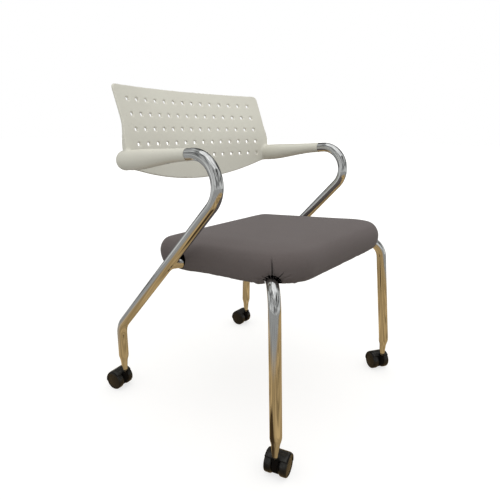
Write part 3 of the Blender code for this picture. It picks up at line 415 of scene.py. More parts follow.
def joined(work, other):
    """Adds one bmesh to another."""
    spare = bpy.data.meshes.new("spare")
    other.to_mesh(spare)
    other.free()
    work.from_mesh(spare)
    bpy.data.meshes.remove(spare)


def capped_cone(work, low, high, depth, sides, matrix):
    """Adds a closed cone or cylinder along its own Z."""
    bmesh.ops.create_cone(
        work, cap_ends=True, segments=sides, radius1=low, radius2=high, depth=depth, matrix=matrix
    )


def collar(radius, foot, top, edge):
    """Profile of a collar from its foot to its top, with both its edges taken off."""
    return [(radius - edge, foot), (radius, foot + edge), (radius, top - edge), (radius - edge, top)]


for place_name, (foot, side, heading) in CASTORS.items():
    stand = Matrix.Translation((CENTRE_X + side * foot.x, foot.y, 0))
    turned_stand = stand @ Matrix.Rotation(heading, 4, "Z")
    castor = "castor_" + place_name

    # Hood: a strip with drooping edges spun over the wheels, a hub between them and a round boss for the stem
    work = bmesh.new()
    bmesh.ops.create_grid(work, x_segments=1, y_segments=24, size=0.5)
    strip_size = Matrix.Diagonal((HOOD_OUTER - HOOD_INNER, 2 * WHEEL_OUTER, 1, 1))
    strip_place = Matrix.Translation(((HOOD_OUTER + HOOD_INNER) / 2, 0, 0))
    bmesh.ops.transform(work, matrix=strip_place @ strip_size, verts=work.verts)
    for vert in work.verts:
        vert.co.x -= HOOD_DROOP * max(0.0, (abs(vert.co.y) - HOOD_FLAT) / (WHEEL_OUTER - HOOD_FLAT)) ** 2
    round_axle = Matrix.Translation(AXLE) @ Matrix.Rotation(-HOOD_REAR, 4, "Y")
    bmesh.ops.transform(work, matrix=round_axle, verts=work.verts)
    strip = work.verts[:] + work.edges[:] + work.faces[:]
    bmesh.ops.spin(work, geom=strip, cent=AXLE, axis=-Y, angle=HOOD_SWEEP, steps=HOOD_STEPS)
    bmesh.ops.recalc_face_normals(work, faces=work.faces)
    softened(work, crisp(work), HOOD_EDGE, segments=3)
    hub = bmesh.new()
    on_axle = Matrix.Translation(AXLE) @ Matrix.Rotation(math.pi / 2, 4, "X")
    capped_cone(hub, HUB_RADIUS, HUB_RADIUS, 2 * HUB_HALF_WIDTH, HUB_SIDES, on_axle)
    on_stem = Matrix.Translation((0, 0, (HUB_TOP + HUB_FLOOR) / 2))
    capped_cone(hub, HUB_TOE, HUB_HALF_WIDTH, HUB_TOP - HUB_FLOOR, HUB_SIDES, on_stem)
    softened(hub, crisp(hub), HUB_EDGE, segments=3)
    hood_faces = len(work.faces)
    joined(work, hub)
    bmesh.ops.transform(work, matrix=turned_stand, verts=work.verts)
    work.faces.ensure_lookup_table()
    # The hub's faces take the darker nylon, which paints the shade between the wheels
    for face in work.faces[hood_faces:]:
        face.material_index = 1
    hood = piece(work, castor + "_nylon_hood", nylon, castor, [castor + "_hood"])
    hood.data.materials.append(hub_painted_shade_nylon)

    # Wheels: a straight tread with rounded shoulders, and on the outer side a domed disc with a sunk rim
    for number, way in ((1, -1), (2, 1)):
        work = bmesh.new()
        rim = [(WHEEL_BORE, WHEEL_INNER), (WHEEL_RADIUS, WHEEL_INNER)]
        rim += [(WHEEL_RADIUS, WHEEL_OUTER), (WHEEL_DISC, WHEEL_OUTER)]
        shares = [step / WHEEL_DISC_STEPS for step in range(WHEEL_DISC_STEPS, -1, -1)]
        dome = [(WHEEL_DISC * share, WHEEL_OUTER - WHEEL_DISC_SUNK * share**2) for share in shares]
        turned(work, rim + dome, AXLE, way * Y, WHEEL_STEPS)
        beyond = WHEEL_RADIUS - WHEEL_ROUND
        shoulders = [edge for edge in crisp(work) if (edge.verts[0].co - AXLE).xz.length > beyond]
        softened(work, shoulders, WHEEL_ROUND, segments=5)
        bmesh.ops.transform(work, matrix=turned_stand, verts=work.verts)
        name = f"{castor}_nylon_wheel_{number}"
        node = f"{castor}_wheel_{number}"
        piece(work, name, nylon, f"wheel_{place_name}_{number}", [node], sharp=50)

    # Stem with its collar, which turns, and the socket's flange under the leg, which doesn't
    work = bmesh.new()
    profile = [(0.0, STEM_FOOT), (STEM_RADIUS, STEM_FOOT), (STEM_RADIUS, COLLAR_FOOT)]
    profile += collar(COLLAR_RADIUS, COLLAR_FOOT, COLLAR_TOP, COLLAR_EDGE)
    profile += [(STEM_RADIUS, COLLAR_TOP), (STEM_RADIUS, STEM_TOP), (0.0, STEM_TOP + STEM_POINT)]
    turned(work, profile, Vector(), Z, STEM_STEPS)
    bmesh.ops.transform(work, matrix=turned_stand, verts=work.verts)
    piece(work, castor + "_steel_stem", zinc, castor, [castor + "_stem"])
    work = bmesh.new()
    profile = [(SOCKET_NECK, SOCKET_TOP), (SOCKET_NECK, FLANGE_TOP)]
    profile += reversed(collar(FLANGE_RADIUS, FLANGE_FOOT, FLANGE_TOP, FLANGE_EDGE))
    profile += [(SOCKET_BORE, FLANGE_FOOT), (SOCKET_BORE, SOCKET_TOP)]
    turned(work, profile, Vector(), Z, STEM_STEPS, closed=True)
    bmesh.ops.transform(work, matrix=stand, verts=work.verts)
    piece(work, castor + "_nylon_socket", nylon, "frame", [castor + "_socket"])

# Back. One injection moulding: a thin panel pierced by rows of small square holes, bowed round the sitter and
# leaning back, with a thicker turned edge, and two hollow arm sleeves that slip over the tube spigots.
SLEEVE_LENGTH = 0.227
SLEEVE_MOUTH_RADIUS = 0.0132
SLEEVE_REAR_HALF_HEIGHT = 0.0225
SLEEVE_REAR_HALF_WIDTH = 0.019
SLEEVE_END_ROUND = 0.024
SLEEVE_ROUND_FROM = SLEEVE_LENGTH - SLEEVE_END_ROUND
SLEEVE_END_LIMIT = 0.9999
SLEEVE_SAG = 0.55
SLEEVE_GROWS_FROM = 0.010
SLEEVE_GROWS_OVER = 0.165
SLEEVE_TRIM = 0.004
SLEEVE_STEP = 0.006
SLEEVE_SIDES = 64
SLEEVE_BORE_RADIUS = 0.0108
SLEEVE_BORE_DEPTH = 0.152
SLEEVE_CUT_REACH = 0.01
BACK_Y = 0.162
BACK_TOP = 0.7745
BACK_BOTTOM = 0.5495
BACK_HALF_WIDTH = 0.260
BACK_LEAN = 0.21
BACK_LEANS_ABOVE_ARM = 0.030
BACK_LEAN_ROUND = 0.045
BACK_BOW = 0.020
BACK_BOW_GROWS = 0.030
BACK_SIDE_LIFT = 0.042
BACK_EDGE_FLARE = 0.006
BACK_FLARE_ABOVE_ARM = 0.065
BACK_FLARE_OVER = 0.050
BACK_CORNER = 0.011
BACK_GRID = 0.011
BACK_THICKNESS = 0.0045
BACK_RIM_DEPTH = 0.006
BACK_RIM_WIDTH = 0.0035
BACK_FLANGE_TOP = 0.0045
BACK_FLANGE_FOOT = 0.014
BACK_FLANGE_FROM = 0.705
BACK_FLANGE_OVER = 0.075
BACK_FLANGE_BEHIND = 0.001
BACK_FLANGE_WALL = 0.0045
HOLE_SIZE = 0.0096
HOLE_DRAFT = 0.40
HOLE_DRAFT_LIMIT = 1.3
HOLE_HALF_FIELD = 0.2197
HOLE_COLUMNS = 14
HOLE_LEVELS = [0.6085, 0.64225, 0.676, 0.70975, 0.7435]
MOULDING_VOXEL = 0.0016
MOULDING_EASING = 3
MOULDING_KEPT = 0.55
FILLET = 0.006
FILLET_FROM = 0.1
FILLET_EASING = 14
FLAT_ON = 0.85

# Moulded polypropylene: warm greenish white, satin, with a fine eroded mould grain and faint flow clouds
white_plastic, shader = surface("moulded_white_polypropylene", {"IOR": 1.49})
place = add(shader, "ShaderNodeTexCoord", out=3)
clouds = add(shader, "ShaderNodeTexNoise", {"Scale": 1 / 0.075, "Detail": 3.0}, {"Vector": place})
tones = {6: linear("#DAD7CA"), 7: linear("#DFDED1")}
add(shader, "ShaderNodeMix", tones, {0: clouds}, to="Base Color", out=2, data_type="RGBA")
scuffs = add(shader, "ShaderNodeTexNoise", {"Scale": 1 / 0.011, "Detail": 4.0}, {"Vector": place})
gloss = {"From Min": 0.3, "From Max": 0.7, "To Min": 0.27, "To Max": 0.38}
add(shader, "ShaderNodeMapRange", gloss, {"Value": scuffs}, to="Roughness")
grain = add(shader, "ShaderNodeTexNoise", {"Scale": 1 / 0.0011, "Detail": 2.0}, {"Vector": place})
add(shader, "ShaderNodeBump", {"Strength": 0.15, "Distance": 0.00025}, {"Height": grain}, to="Normal")


def back_depth(x, z):
    """Where the panel's front lies from front to rear, at a place across from the middle and a height."""
    rise = z - ARM_MOUTH.z - BACK_LEANS_ABOVE_ARM
    lean = BACK_LEAN * (rise + math.hypot(rise, BACK_LEAN_ROUND))
    bow = BACK_BOW + BACK_BOW_GROWS * (z - BACK_BOTTOM) / (BACK_TOP - BACK_BOTTOM)
    return BACK_Y + lean + bow * (1 - (x / BACK_HALF_WIDTH) ** 2)


def edge_flare(z):
    """How far the panel's side edges spread outward at a height, towards the sleeves."""
    return BACK_EDGE_FLARE * eased((ARM_MOUTH.z + BACK_FLARE_ABOVE_ARM - z) / BACK_FLARE_OVER)


def stepped(ends, most):
    """Fills a list of places with further ones, so that no two neighbours are further apart than a step."""
    filled = [ends[0]]
    for low, high in zip(ends, ends[1:]):
        count = max(1, math.ceil((high - low) / most - 1e-6))
        filled += [low + (high - low) * step / count for step in range(1, count + 1)]
    return filled


def settled(made):
    """The shape of a helper with its modifiers done, as a bmesh; the helper goes."""
    work = bmesh.new()
    work.from_object(made, bpy.context.evaluated_depsgraph_get())
    bpy.data.objects.remove(made)
    return work


def melted(work, voxel):
    """Melts a shape's solids into one even skin."""
    made = made_of(work, "melting")
    melt = made.modifiers.new("melt", "REMESH")
    melt.mode = "VOXEL"
    melt.voxel_size = voxel
    return settled(made)


def relaxed(work, verts, times):
    """Evens out vertices a number of times."""
    for _ in range(times):
        bmesh.ops.smooth_vert(
            work, verts=verts, factor=0.5, use_axis_x=True, use_axis_y=True, use_axis_z=True
        )


half_hole = HOLE_SIZE / 2
pitch = 2 * HOLE_HALF_FIELD / (HOLE_COLUMNS - 1)
hole_middles = [-HOLE_HALF_FIELD + pitch * column for column in range(HOLE_COLUMNS)]
first_hole = HOLE_LEVELS[0] - half_hole
last_hole = HOLE_HALF_FIELD + half_hole
corner_steps = [0.0, BACK_RIM_WIDTH, 0.5 * (BACK_RIM_WIDTH + BACK_CORNER), BACK_CORNER]
across = [step - BACK_HALF_WIDTH for step in corner_steps]
for middle in hole_middles:
    across += [middle - half_hole, middle + half_hole]
across = stepped(across + [BACK_HALF_WIDTH - step for step in reversed(corner_steps)], BACK_GRID)
up = [BACK_BOTTOM, BACK_BOTTOM + BACK_RIM_WIDTH]
for level in HOLE_LEVELS:
    up += [level - half_hole, level + half_hole]
up = stepped(up + [BACK_TOP - step for step in reversed(corner_steps)], BACK_GRID)

# Panel: an even grid laid on the bowed and leaning surface, with the holes left out and a thicker rim
panel = bmesh.new()
bmesh.ops.create_grid(panel, x_segments=len(across) - 1, y_segments=len(up) - 1, size=1.0)
pierced = []
for face in panel.faces:
    middle = face.calc_center_median()
    column = int((middle.x + 1) / 2 * (len(across) - 1))
    row = int((middle.y + 1) / 2 * (len(up) - 1))
    x = (across[column] + across[column + 1]) / 2
    z = (up[row] + up[row + 1]) / 2
    in_column = any(abs(x - hole) < half_hole for hole in hole_middles)
    in_row = any(abs(z - level) < half_hole for level in HOLE_LEVELS)
    if in_column and in_row:
        pierced.append(face)
rim = []
for vert in panel.verts:
    column = round((vert.co.x + 1) / 2 * (len(across) - 1))
    row = round((vert.co.y + 1) / 2 * (len(up) - 1))
    x, z = across[column], up[row]
    if column in (0, len(across) - 1) or row in (0, len(up) - 1):
        rim.append(vert.index)
    u = (abs(x) - BACK_HALF_WIDTH + BACK_CORNER) / BACK_CORNER
    v = (z - BACK_TOP + BACK_CORNER) / BACK_CORNER
    if u > 0 and v > 0:
        x = math.copysign(BACK_HALF_WIDTH - BACK_CORNER * (1 - u * math.sqrt(1 - v * v / 2)), x)
        z = BACK_TOP - BACK_CORNER * (1 - v * math.sqrt(1 - u * u / 2))
    if z < first_hole:
        lift = BACK_SIDE_LIFT * (x / BACK_HALF_WIDTH) ** 2
        z += lift * (first_hole - z) / (first_hole - BACK_BOTTOM)
    beyond = max(0.0, (abs(x) - last_hole) / (BACK_HALF_WIDTH - last_hole))
    x += math.copysign(edge_flare(z) * beyond, x)
    vert.co = (x, back_depth(x, z), z)
bmesh.ops.delete(panel, geom=pierced, context="FACES_ONLY")
bmesh.ops.reverse_faces(panel, faces=[face for face in panel.faces if face.normal.y > 0])
walled = made_of(panel, "panel_wall")
rim_group = walled.vertex_groups.new(name="rim")
rim_group.add(rim, 1.0, "ADD")
wall = walled.modifiers.new("wall", "SOLIDIFY")
wall.thickness = BACK_RIM_DEPTH
wall.offset = -1.0
wall.use_even_offset = True
wall.vertex_group = rim_group.name
wall.thickness_vertex_group = BACK_THICKNESS / BACK_RIM_DEPTH
work = settled(walled)

# Flanges: each side edge turns back, a little at the top and further down to the sleeve, which it stiffens
for side in SIDES.values():
    flange = bmesh.new()
    bmesh.ops.create_grid(flange, x_segments=3, y_segments=30, size=0.5)
    low = BACK_BOTTOM + BACK_SIDE_LIFT
    for vert in flange.verts:
        z = low + (BACK_TOP - BACK_CORNER - low) * (vert.co.y + 0.5)
        widened = eased((BACK_FLANGE_FROM - z) / BACK_FLANGE_OVER)
        deep = BACK_FLANGE_TOP + (BACK_FLANGE_FOOT - BACK_FLANGE_TOP) * widened
        x = BACK_HALF_WIDTH + edge_flare(z)
        y = back_depth(x, z) + BACK_FLANGE_BEHIND + deep * (vert.co.x + 0.5)
        vert.co = (side * x, y, z)
    bmesh.ops.recalc_face_normals(flange, faces=flange.faces)
    outer = [face for face in flange.faces if face.normal.x * side < 0]
    bmesh.ops.reverse_faces(flange, faces=outer)
    bmesh.ops.solidify(flange, geom=flange.faces[:], thickness=BACK_FLANGE_WALL)
    joined(work, flange)


def sleeve_size(along):
    """Half width, half height and droop of a sleeve's section at a distance from its mouth."""
    grown = eased((along - SLEEVE_GROWS_FROM) / SLEEVE_GROWS_OVER)
    rise = grown * (SLEEVE_REAR_HALF_HEIGHT - SLEEVE_MOUTH_RADIUS)
    share = min(max((along - SLEEVE_ROUND_FROM) / SLEEVE_END_ROUND, 0.0), SLEEVE_END_LIMIT)
    round_end = math.sqrt(1 - share * share)
    half_width = SLEEVE_MOUTH_RADIUS + grown * (SLEEVE_REAR_HALF_WIDTH - SLEEVE_MOUTH_RADIUS)
    return half_width * round_end, (SLEEVE_MOUTH_RADIUS + rise) * round_end, -SLEEVE_SAG * rise


def sleeve_section(along):
    """Matrix that takes a unit circle in XZ to a sleeve's section."""
    half_width, half_height, droop = sleeve_size(along)
    return Matrix.Translation((0, along, droop)) @ Matrix.Diagonal((half_width, 1, half_height, 1))


# Sleeves: an oval drawn along the arm, growing and drooping to the rear, where it rounds off
arm_lines, into_arm = {}, {}
stations = stepped([-SLEEVE_TRIM, 0.0, SLEEVE_ROUND_FROM], SLEEVE_STEP)
turns = [math.radians(angle) for angle in range(9, 90, 9)]
stations += [SLEEVE_ROUND_FROM + SLEEVE_END_ROUND * math.sin(turn) for turn in turns]
for side in SIDES.values():
    sleeve = bmesh.new()
    upright = Matrix.Rotation(math.pi / 2, 4, "X")
    edges = hoop(sleeve, SLEEVE_SIDES, 1.0, sleeve_section(stations[0]) @ upright)
    bmesh.ops.contextual_create(sleeve, geom=edges)
    for before, after in zip(stations, stations[1:]):
        edges = drawn_on(sleeve, edges, sleeve_section(after) @ sleeve_section(before).inverted())
    bmesh.ops.contextual_create(sleeve, geom=edges)
    bmesh.ops.recalc_face_normals(sleeve, faces=sleeve.faces)
    arm = Vector((side * ARM_MOUTH.x, ARM_MOUTH.y, ARM_MOUTH.z))
    arm_lines[side] = Matrix.Translation(arm) @ Matrix.Rotation(-ARM_SLOPE, 4, "X")
    into_arm[side] = arm_lines[side].inverted()
    bmesh.ops.transform(sleeve, matrix=arm_lines[side], verts=sleeve.verts)
    joined(work, sleeve)


def panel_place(point):
    """How far a point lies behind the panel's front, and the panel's slant there."""
    step = 0.001
    here = back_depth(point.x, point.z)
    slope_x = (back_depth(point.x + step, point.z) - here) / step
    slope_z = (back_depth(point.x, point.z + step) - here) / step
    return point.y - here, math.sqrt(1 + slope_x**2 + slope_z**2)


def sleeve_place(point):
    """How far a point lies outside the nearer sleeve, by length and by ratio, and its place along it."""
    local = into_arm[1 if point.x > 0 else -1] @ point
    if not -SLEEVE_TRIM <= local.y <= SLEEVE_LENGTH:
        return 1.0, 1.0, local
    half_width, half_height, droop = sleeve_size(local.y)
    ratio = math.hypot(local.x / half_width, (local.z - droop) / half_height)
    return (ratio - 1) * min(half_width, half_height), ratio, local


# Panel, flanges and sleeves are melted into one skin, which is eased at the joins and trued to their surfaces
work = melted(work, MOULDING_VOXEL)
relaxed(work, work.verts, MOULDING_EASING)
near_join = []
for vert in work.verts:
    behind, slant = panel_place(vert.co)
    outside, ratio, local = sleeve_place(vert.co)
    past_rear = behind - BACK_THICKNESS * slant
    if abs(outside) < FILLET and -FILLET < behind < BACK_RIM_DEPTH * slant + FILLET and local.y > FILLET_FROM:
        near_join.append(vert)
    elif abs(outside) < MOULDING_VOXEL and 0 < local.y < SLEEVE_ROUND_FROM:
        half_width, half_height, droop = sleeve_size(local.y)
        trued = Vector((local.x / ratio, local.y, droop + (local.z - droop) / ratio))
        vert.co = arm_lines[1 if vert.co.x > 0 else -1] @ trued
    elif abs(behind) < 0.5 * MOULDING_VOXEL and vert.normal.y < -FLAT_ON:
        vert.co.y -= behind
    elif abs(past_rear) < 0.5 * MOULDING_VOXEL and vert.normal.y > FLAT_ON:
        vert.co.y -= past_rear
relaxed(work, near_join, FILLET_EASING)

# Each hole narrows to the rear, so that the mould's pins draw out of it to the front
for vert in work.verts:
    behind, slant = panel_place(vert.co)
    depth = behind / (BACK_THICKNESS * slant)
    hole_x = min(hole_middles, key=lambda middle: abs(middle - vert.co.x))
    hole_z = min(HOLE_LEVELS, key=lambda level: abs(level - vert.co.z))
    from_middle = max(abs(vert.co.x - hole_x), abs(vert.co.z - hole_z))
    if depth < HOLE_DRAFT_LIMIT and from_middle < pitch / 2:
        near_hole = eased((pitch / 2 - from_middle) / (pitch / 2 - half_hole))
        narrowed = HOLE_DRAFT * near_hole * min(max(depth, 0.0), 1.0)
        x = vert.co.x - narrowed * (vert.co.x - hole_x)
        z = vert.co.z - narrowed * (vert.co.z - hole_z)
        vert.co = (x, back_depth(x, z) + behind, z)

# Each sleeve's mouth is cut square, and its bore runs in round the spigot
for side, line in arm_lines.items():
    plane = line.to_translation()
    normal = line.to_3x3() @ Y
    half_work = [vert for vert in work.verts if vert.co.x * side > 0]
    end = [vert for vert in half_work if (vert.co - plane).dot(normal) < SLEEVE_CUT_REACH]
    edges = {edge for vert in end for edge in vert.link_edges}
    faces = {face for vert in end for face in vert.link_faces}
    cut = bmesh.ops.bisect_plane(
        work, geom=end + list(edges) + list(faces), plane_co=plane, plane_no=-normal, clear_outer=True
    )["geom_cut"]
    mouth = of_kind(cut, bmesh.types.BMEdge)
    mouth = drawn_on(work, mouth, shrunk(plane, SLEEVE_BORE_RADIUS / SLEEVE_MOUTH_RADIUS))
    mouth = drawn_on(work, mouth, Matrix.Translation(normal * SLEEVE_BORE_DEPTH))
    bmesh.ops.edgenet_fill(work, edges=mouth)
bmesh.ops.translate(work, verts=work.verts, vec=(CENTRE_X, 0, 0))
bmesh.ops.recalc_face_normals(work, faces=work.faces)
thinned = made_of(work, "thinned_back")
thinned.modifiers.new("thin", "DECIMATE").ratio = MOULDING_KEPT
piece(settled(thinned), "moulded_back", white_plastic, "frame", ["backrest"], sharp=50)

# Seat pan. Birch plywood under the cushion, which the cover is stapled to; it shows only from below.
# It is pressed flat, sawn and drilled for the tee nuts, and left as the CAD has it.
plywood, shader = surface("birch_plywood", {"Roughness": 0.65})
place = add(shader, "ShaderNodeTexCoord", out=3)
stretch = add(shader, "ShaderNodeMapping", {"Scale": (1.0, 0.06, 1.0)}, {"Vector": place})
grain = add(shader, "ShaderNodeTexNoise", {"Scale": 1 / 0.004, "Detail": 6.0}, {"Vector": stretch})
tones = {6: linear("#A9865A"), 7: linear("#C9A878")}
add(shader, "ShaderNodeMix", tones, {0: grain}, to="Base Color", out=2, data_type="RGBA")
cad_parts["seat_pan"].material_slots[0].material = plywood

# Seat cushion. Moulded foam on the pan under a plain woven cover, pulled tight over the edge and stapled
# below. At the front corners the cover is slit for the legs and gathers in short creases round them.
SEAT_MIDDLE = Vector((CENTRE_X, -0.0539, 0.40745))
SEAT_TILT = math.radians(-4.392)
SEAT_HALF_DEPTH = 0.20765
SEAT_FRONT_HALF_WIDTH = 0.2384
SEAT_REAR_HALF_WIDTH = 0.2186
SEAT_FRONT_CORNER = 0.0943
SEAT_REAR_CORNER = 0.0475
SEAT_CORNER_STEPS = 14
SEAT_ABOVE = 0.0360
SEAT_BELOW = 0.0345
SEAT_FULL_SIDES = 0.43
SEAT_FULL_ENDS = 0.05
SEAT_BULGE = 0.0189
SEAT_BULGE_KEPT = 0.995
SEAT_CROWN = 0.004
SEAT_SHOULDER = 0.080
SEAT_SHOULDER_DROP = 0.009
PAD_SLACK = 0.004
PAD_VOXEL = 0.005
PAD_RELIEF = 0.0012
PAD_EASING = 24
PAD_PRESSURE = 4.0
PAD_FRAMES = 20
STAPLED_BELOW = 0.75 * SEAT_BELOW
RAIL_PLANE = Vector((CENTRE_X, 0, 0.38996))
RAIL_TILT = math.radians(-0.966)
PAN_TOP = 0.0220
POCKET_INSET = 0.0337
POCKET_FLOOR = 0.08
PASSAGE_RADIUS = 0.0137
PASSAGE_DROP = 0.10
PASSAGE_LEAN = 0.3
SLIT_RADIUS = 0.0160
SLIT_RISE = -0.0030
SLIT_NARROWS = 0.8
SLIT_DEPTH = 0.070
SLIT_SIDES = 72
SLIT_INWARD = 0.040
SLIT_ROUGH = 0.16
SLIT_ROUGH_SIZE = 1 / 160
SLIT_SUNK = 0.0035
SLIT_SUNK_REACH = 0.007
SHADE_LINING_REACH = 1.2 * SLIT_RADIUS
SHADE_LINING_DEPTH = 0.075
GATHER_REACH = 0.075
GATHER_FINE_REACH = 0.047
GATHER_END = 1.2 * GATHER_REACH
GATHER_INWARD = 0.030
GATHER_DEPTH = 0.06
GATHER_LIFT = 0.0035
GATHER_LIFT_REACH = 0.075
BRANCH_SWELL = 0.018
BRANCH_SWELL_REACH = 0.036
BRANCH_SWELL_FACING = 0.6
BELL_END = 3
BRANCH_SLIT_RADIUS = 0.0170
BRANCH_SLIT_DEPTH = 0.060
BRANCH_SLIT_PROUD = 0.010
BRANCH_SLIT_RISE = 0.006
PUCKER_FROM = 0.35 * SEAT_BELOW
PUCKER_OVER = 0.5 * SEAT_BELOW
PUCKER = 0.0008
PUCKER_AT_LEG = 0.00448
PUCKER_REACH = 0.085
PUCKER_SIZE = 1 / 48
PUCKER_FINE_SIZE = 1 / 90
PUCKER_FINE_SHARE = 0.6
CREASE_REACH = 5
CREASE_RIDGE = 0.35
CREASE_RIDGE_AT = 2

# The creases round a leg: angle from upright in degrees, where each starts and ends, its depth and its width
CREASES = [
    (-2, 0.012, 0.058, 0.0062, 0.0011),
    (38, 0.012, 0.036, 0.0048, 0.0012),
    (60, 0.014, 0.046, 0.0018, 0.0022),
    (76, 0.012, 0.026, 0.0026, 0.0014),
    (-20, 0.012, 0.025, 0.0026, 0.0012),
    (-52, 0.012, 0.028, 0.0024, 0.0014),
    (-80, 0.014, 0.040, 0.0014, 0.0026),
    (100, 0.014, 0.036, 0.0016, 0.0020),
]

# Woven polyester: warm grey, matt, with a soft sheen. Its 0.6 mm yarns are drawn at 1.5 mm so that they show
matt = {"Roughness": 0.92, "Sheen Weight": 0.10, "Sheen Roughness": 0.5, "Specular IOR Level": 0.2}
fabric, shader = surface("woven_grey_polyester", matt)
place = add(shader, "ShaderNodeUVMap", uv_map="cloth")
weave = {"Scale": math.pi / 10 / 0.0015, "Distortion": 0.8, "Detail": 1.0, "Detail Scale": 2.0}
warp = add(shader, "ShaderNodeTexWave", weave, {"Vector": place}, out=1, bands_direction="X")
weft = add(shader, "ShaderNodeTexWave", weave, {"Vector": place}, out=1, bands_direction="Y")
yarns = add(shader, "ShaderNodeMath", links={0: warp, 1: weft}, operation="MULTIPLY")
wear = add(shader, "ShaderNodeTexNoise", {"Scale": 1 / 0.09, "Detail": 4.0}, {"Vector": place})
slubs = add(shader, "ShaderNodeTexNoise", {"Scale": 1 / 0.006, "Detail": 3.0}, {"Vector": place})
mottle = add(shader, "ShaderNodeMix", {0: 0.5}, {2: wear, 3: slubs}, data_type="FLOAT")
tones = {6: linear("#605856"), 7: linear("#6C6462")}
tone = add(shader, "ShaderNodeMix", tones, {0: mottle}, out=2, data_type="RGBA")
shade = add(shader, "ShaderNodeMapRange", {"To Min": 0.92, "To Max": 1.06}, {"Value": yarns})
add(shader, "ShaderNodeVectorMath", links={0: tone, "Scale": shade}, to="Base Color", operation="SCALE")
add(shader, "ShaderNodeBump", {"Strength": 0.3, "Distance": 0.0003}, {"Height": yarns}, to="Normal")

# Near-black lining inside the slits: painted shade, which makes the openings look black
slit_shade_lining, shader = surface("black_painted_shade_lining", {"Roughness": 1.0, "Specular IOR Level": 0.0})
place = add(shader, "ShaderNodeTexCoord", out=3)
shade_speckle = add(shader, "ShaderNodeTexNoise", {"Scale": 1 / 0.002, "Detail": 3.0}, {"Vector": place})
tones = {6: linear("#050506"), 7: linear("#0E0D0D")}
add(shader, "ShaderNodeMix", tones, {0: shade_speckle}, to="Base Color", out=2, data_type="RGBA")


def seat_plan(work, inset, height):
    """Draws the seat's rounded outline, drawn in by an inset, as one level face."""
    front, rear = SEAT_FRONT_HALF_WIDTH - inset, SEAT_REAR_HALF_WIDTH - inset
    deep = SEAT_HALF_DEPTH - inset
    places = [(-front, -deep), (front, -deep), (rear, deep), (-rear, deep)]
    corners = [work.verts.new((x, y, height)) for x, y in places]
    bmesh.ops.contextual_create(work, geom=corners)
    for pair, radius in ((corners[:2], SEAT_FRONT_CORNER - inset), (corners[2:], SEAT_REAR_CORNER - inset)):
        bmesh.ops.bevel(
            work,
            geom=pair,
            offset=radius,
            offset_type="OFFSET",
            affect="VERTICES",
            segments=SEAT_CORNER_STEPS,
            profile=0.5,
            material=-1,
        )


def from_edge(x, y):
    """How far in from the seat's outline a place lies."""
    rearward = (y + SEAT_HALF_DEPTH) / (2 * SEAT_HALF_DEPTH)
    wide = SEAT_FRONT_HALF_WIDTH + (SEAT_REAR_HALF_WIDTH - SEAT_FRONT_HALF_WIDTH) * rearward
    corner = SEAT_FRONT_CORNER if y < 0 else SEAT_REAR_CORNER
    over_x = abs(x) - wide + corner
    over_y = abs(y) - SEAT_HALF_DEPTH + corner
    return corner - math.hypot(max(over_x, 0.0), max(over_y, 0.0)) - min(max(over_x, over_y), 0.0)


def raise_plan(work, height):
    """Raises a plan's face to a solid of a height."""
    raised = bmesh.ops.extrude_face_region(work, geom=work.faces[:])["geom"]
    bmesh.ops.translate(work, verts=of_kind(raised, bmesh.types.BMVert), vec=Z * height)
    bmesh.ops.recalc_face_normals(work, faces=work.faces)


def bell(ratio):
    """A bell curve: 1 at nothing, and as good as nothing at its end."""
    return math.exp(-(ratio**2))


# The start is the finished pad less its swell: a slab with a full round edge, stood up to its thickness
pad = bmesh.new()
seat_plan(pad, PAD_SLACK, -SEAT_BULGE)
raise_plan(pad, 2 * SEAT_BULGE)
softened(pad, crisp(pad, limit=80), SEAT_BULGE * SEAT_BULGE_KEPT, segments=10)
pad.normal_update()
for vert in pad.verts:
    level = vert.co.z / SEAT_BULGE
    if level < 0:
        tuck = SEAT_BULGE * (1 - math.sqrt(max(0.0, 1 - level * level)))
        out = Vector((vert.normal.x, vert.normal.y, 0)).normalized()
        vert.co += out * tuck * (SEAT_FULL_ENDS + SEAT_FULL_SIDES * out.x**4)
    vert.co.z = level * ((SEAT_ABOVE if level > 0 else SEAT_BELOW) - PAD_SLACK)
pad = melted(pad, PAD_VOXEL)
relaxed(pad, pad.verts, times=2)
for vert in pad.verts:
    reach = max(abs(vert.co.x) / SEAT_FRONT_HALF_WIDTH, abs(vert.co.y) / SEAT_HALF_DEPTH)
    if vert.co.z > 0:
        shoulder = max(0.0, 1 - from_edge(vert.co.x, vert.co.y) / SEAT_SHOULDER)
        rise = SEAT_CROWN * max(0.0, 1 - reach**2) - SEAT_SHOULDER_DROP * shoulder**2
        vert.co.z += rise * vert.co.z / SEAT_ABOVE
pad.normal_update()
outward = [vert.normal.copy() for vert in pad.verts]

# The cover swells over the foam as cloth under pressure, held below by its staples, and then settles evenly
cushion = made_of(pad, "pad_swell")
start = [vert.co.copy() for vert in cushion.data.vertices]
stapled = [index for index, place in enumerate(start) if place.z < -STAPLED_BELOW]
held = cushion.vertex_groups.new(name="stapled")
held.add(stapled, 1.0, "ADD")
cloth = cushion.modifiers.new("cloth", "CLOTH").settings
cloth.use_pressure = True
cloth.uniform_pressure_force = PAD_PRESSURE
cloth.effector_weights.gravity = 0.0
cloth.vertex_group_mass = held.name
for step in range(1, PAD_FRAMES + 1):
    bpy.context.scene.frame_set(step)
graph = bpy.context.evaluated_depsgraph_get()
swollen = [vert.co.copy() for vert in cushion.evaluated_get(graph).data.vertices]
bpy.context.scene.frame_set(1)
swell = [(after - before).dot(normal) for before, after, normal in zip(start, swollen, outward)]
swell = [min(max(out, PAD_SLACK - PAD_RELIEF), PAD_SLACK + PAD_RELIEF) for out in swell]
for index in stapled:
    swell[index] = PAD_SLACK
neighbours = [[vert.index] for vert in cushion.data.vertices]
for edge in cushion.data.edges:
    first, last = edge.vertices
    neighbours[first].append(last)
    neighbours[last].append(first)
for _ in range(PAD_EASING):
    swell = [sum(swell[index] for index in near) / len(near) for near in neighbours]
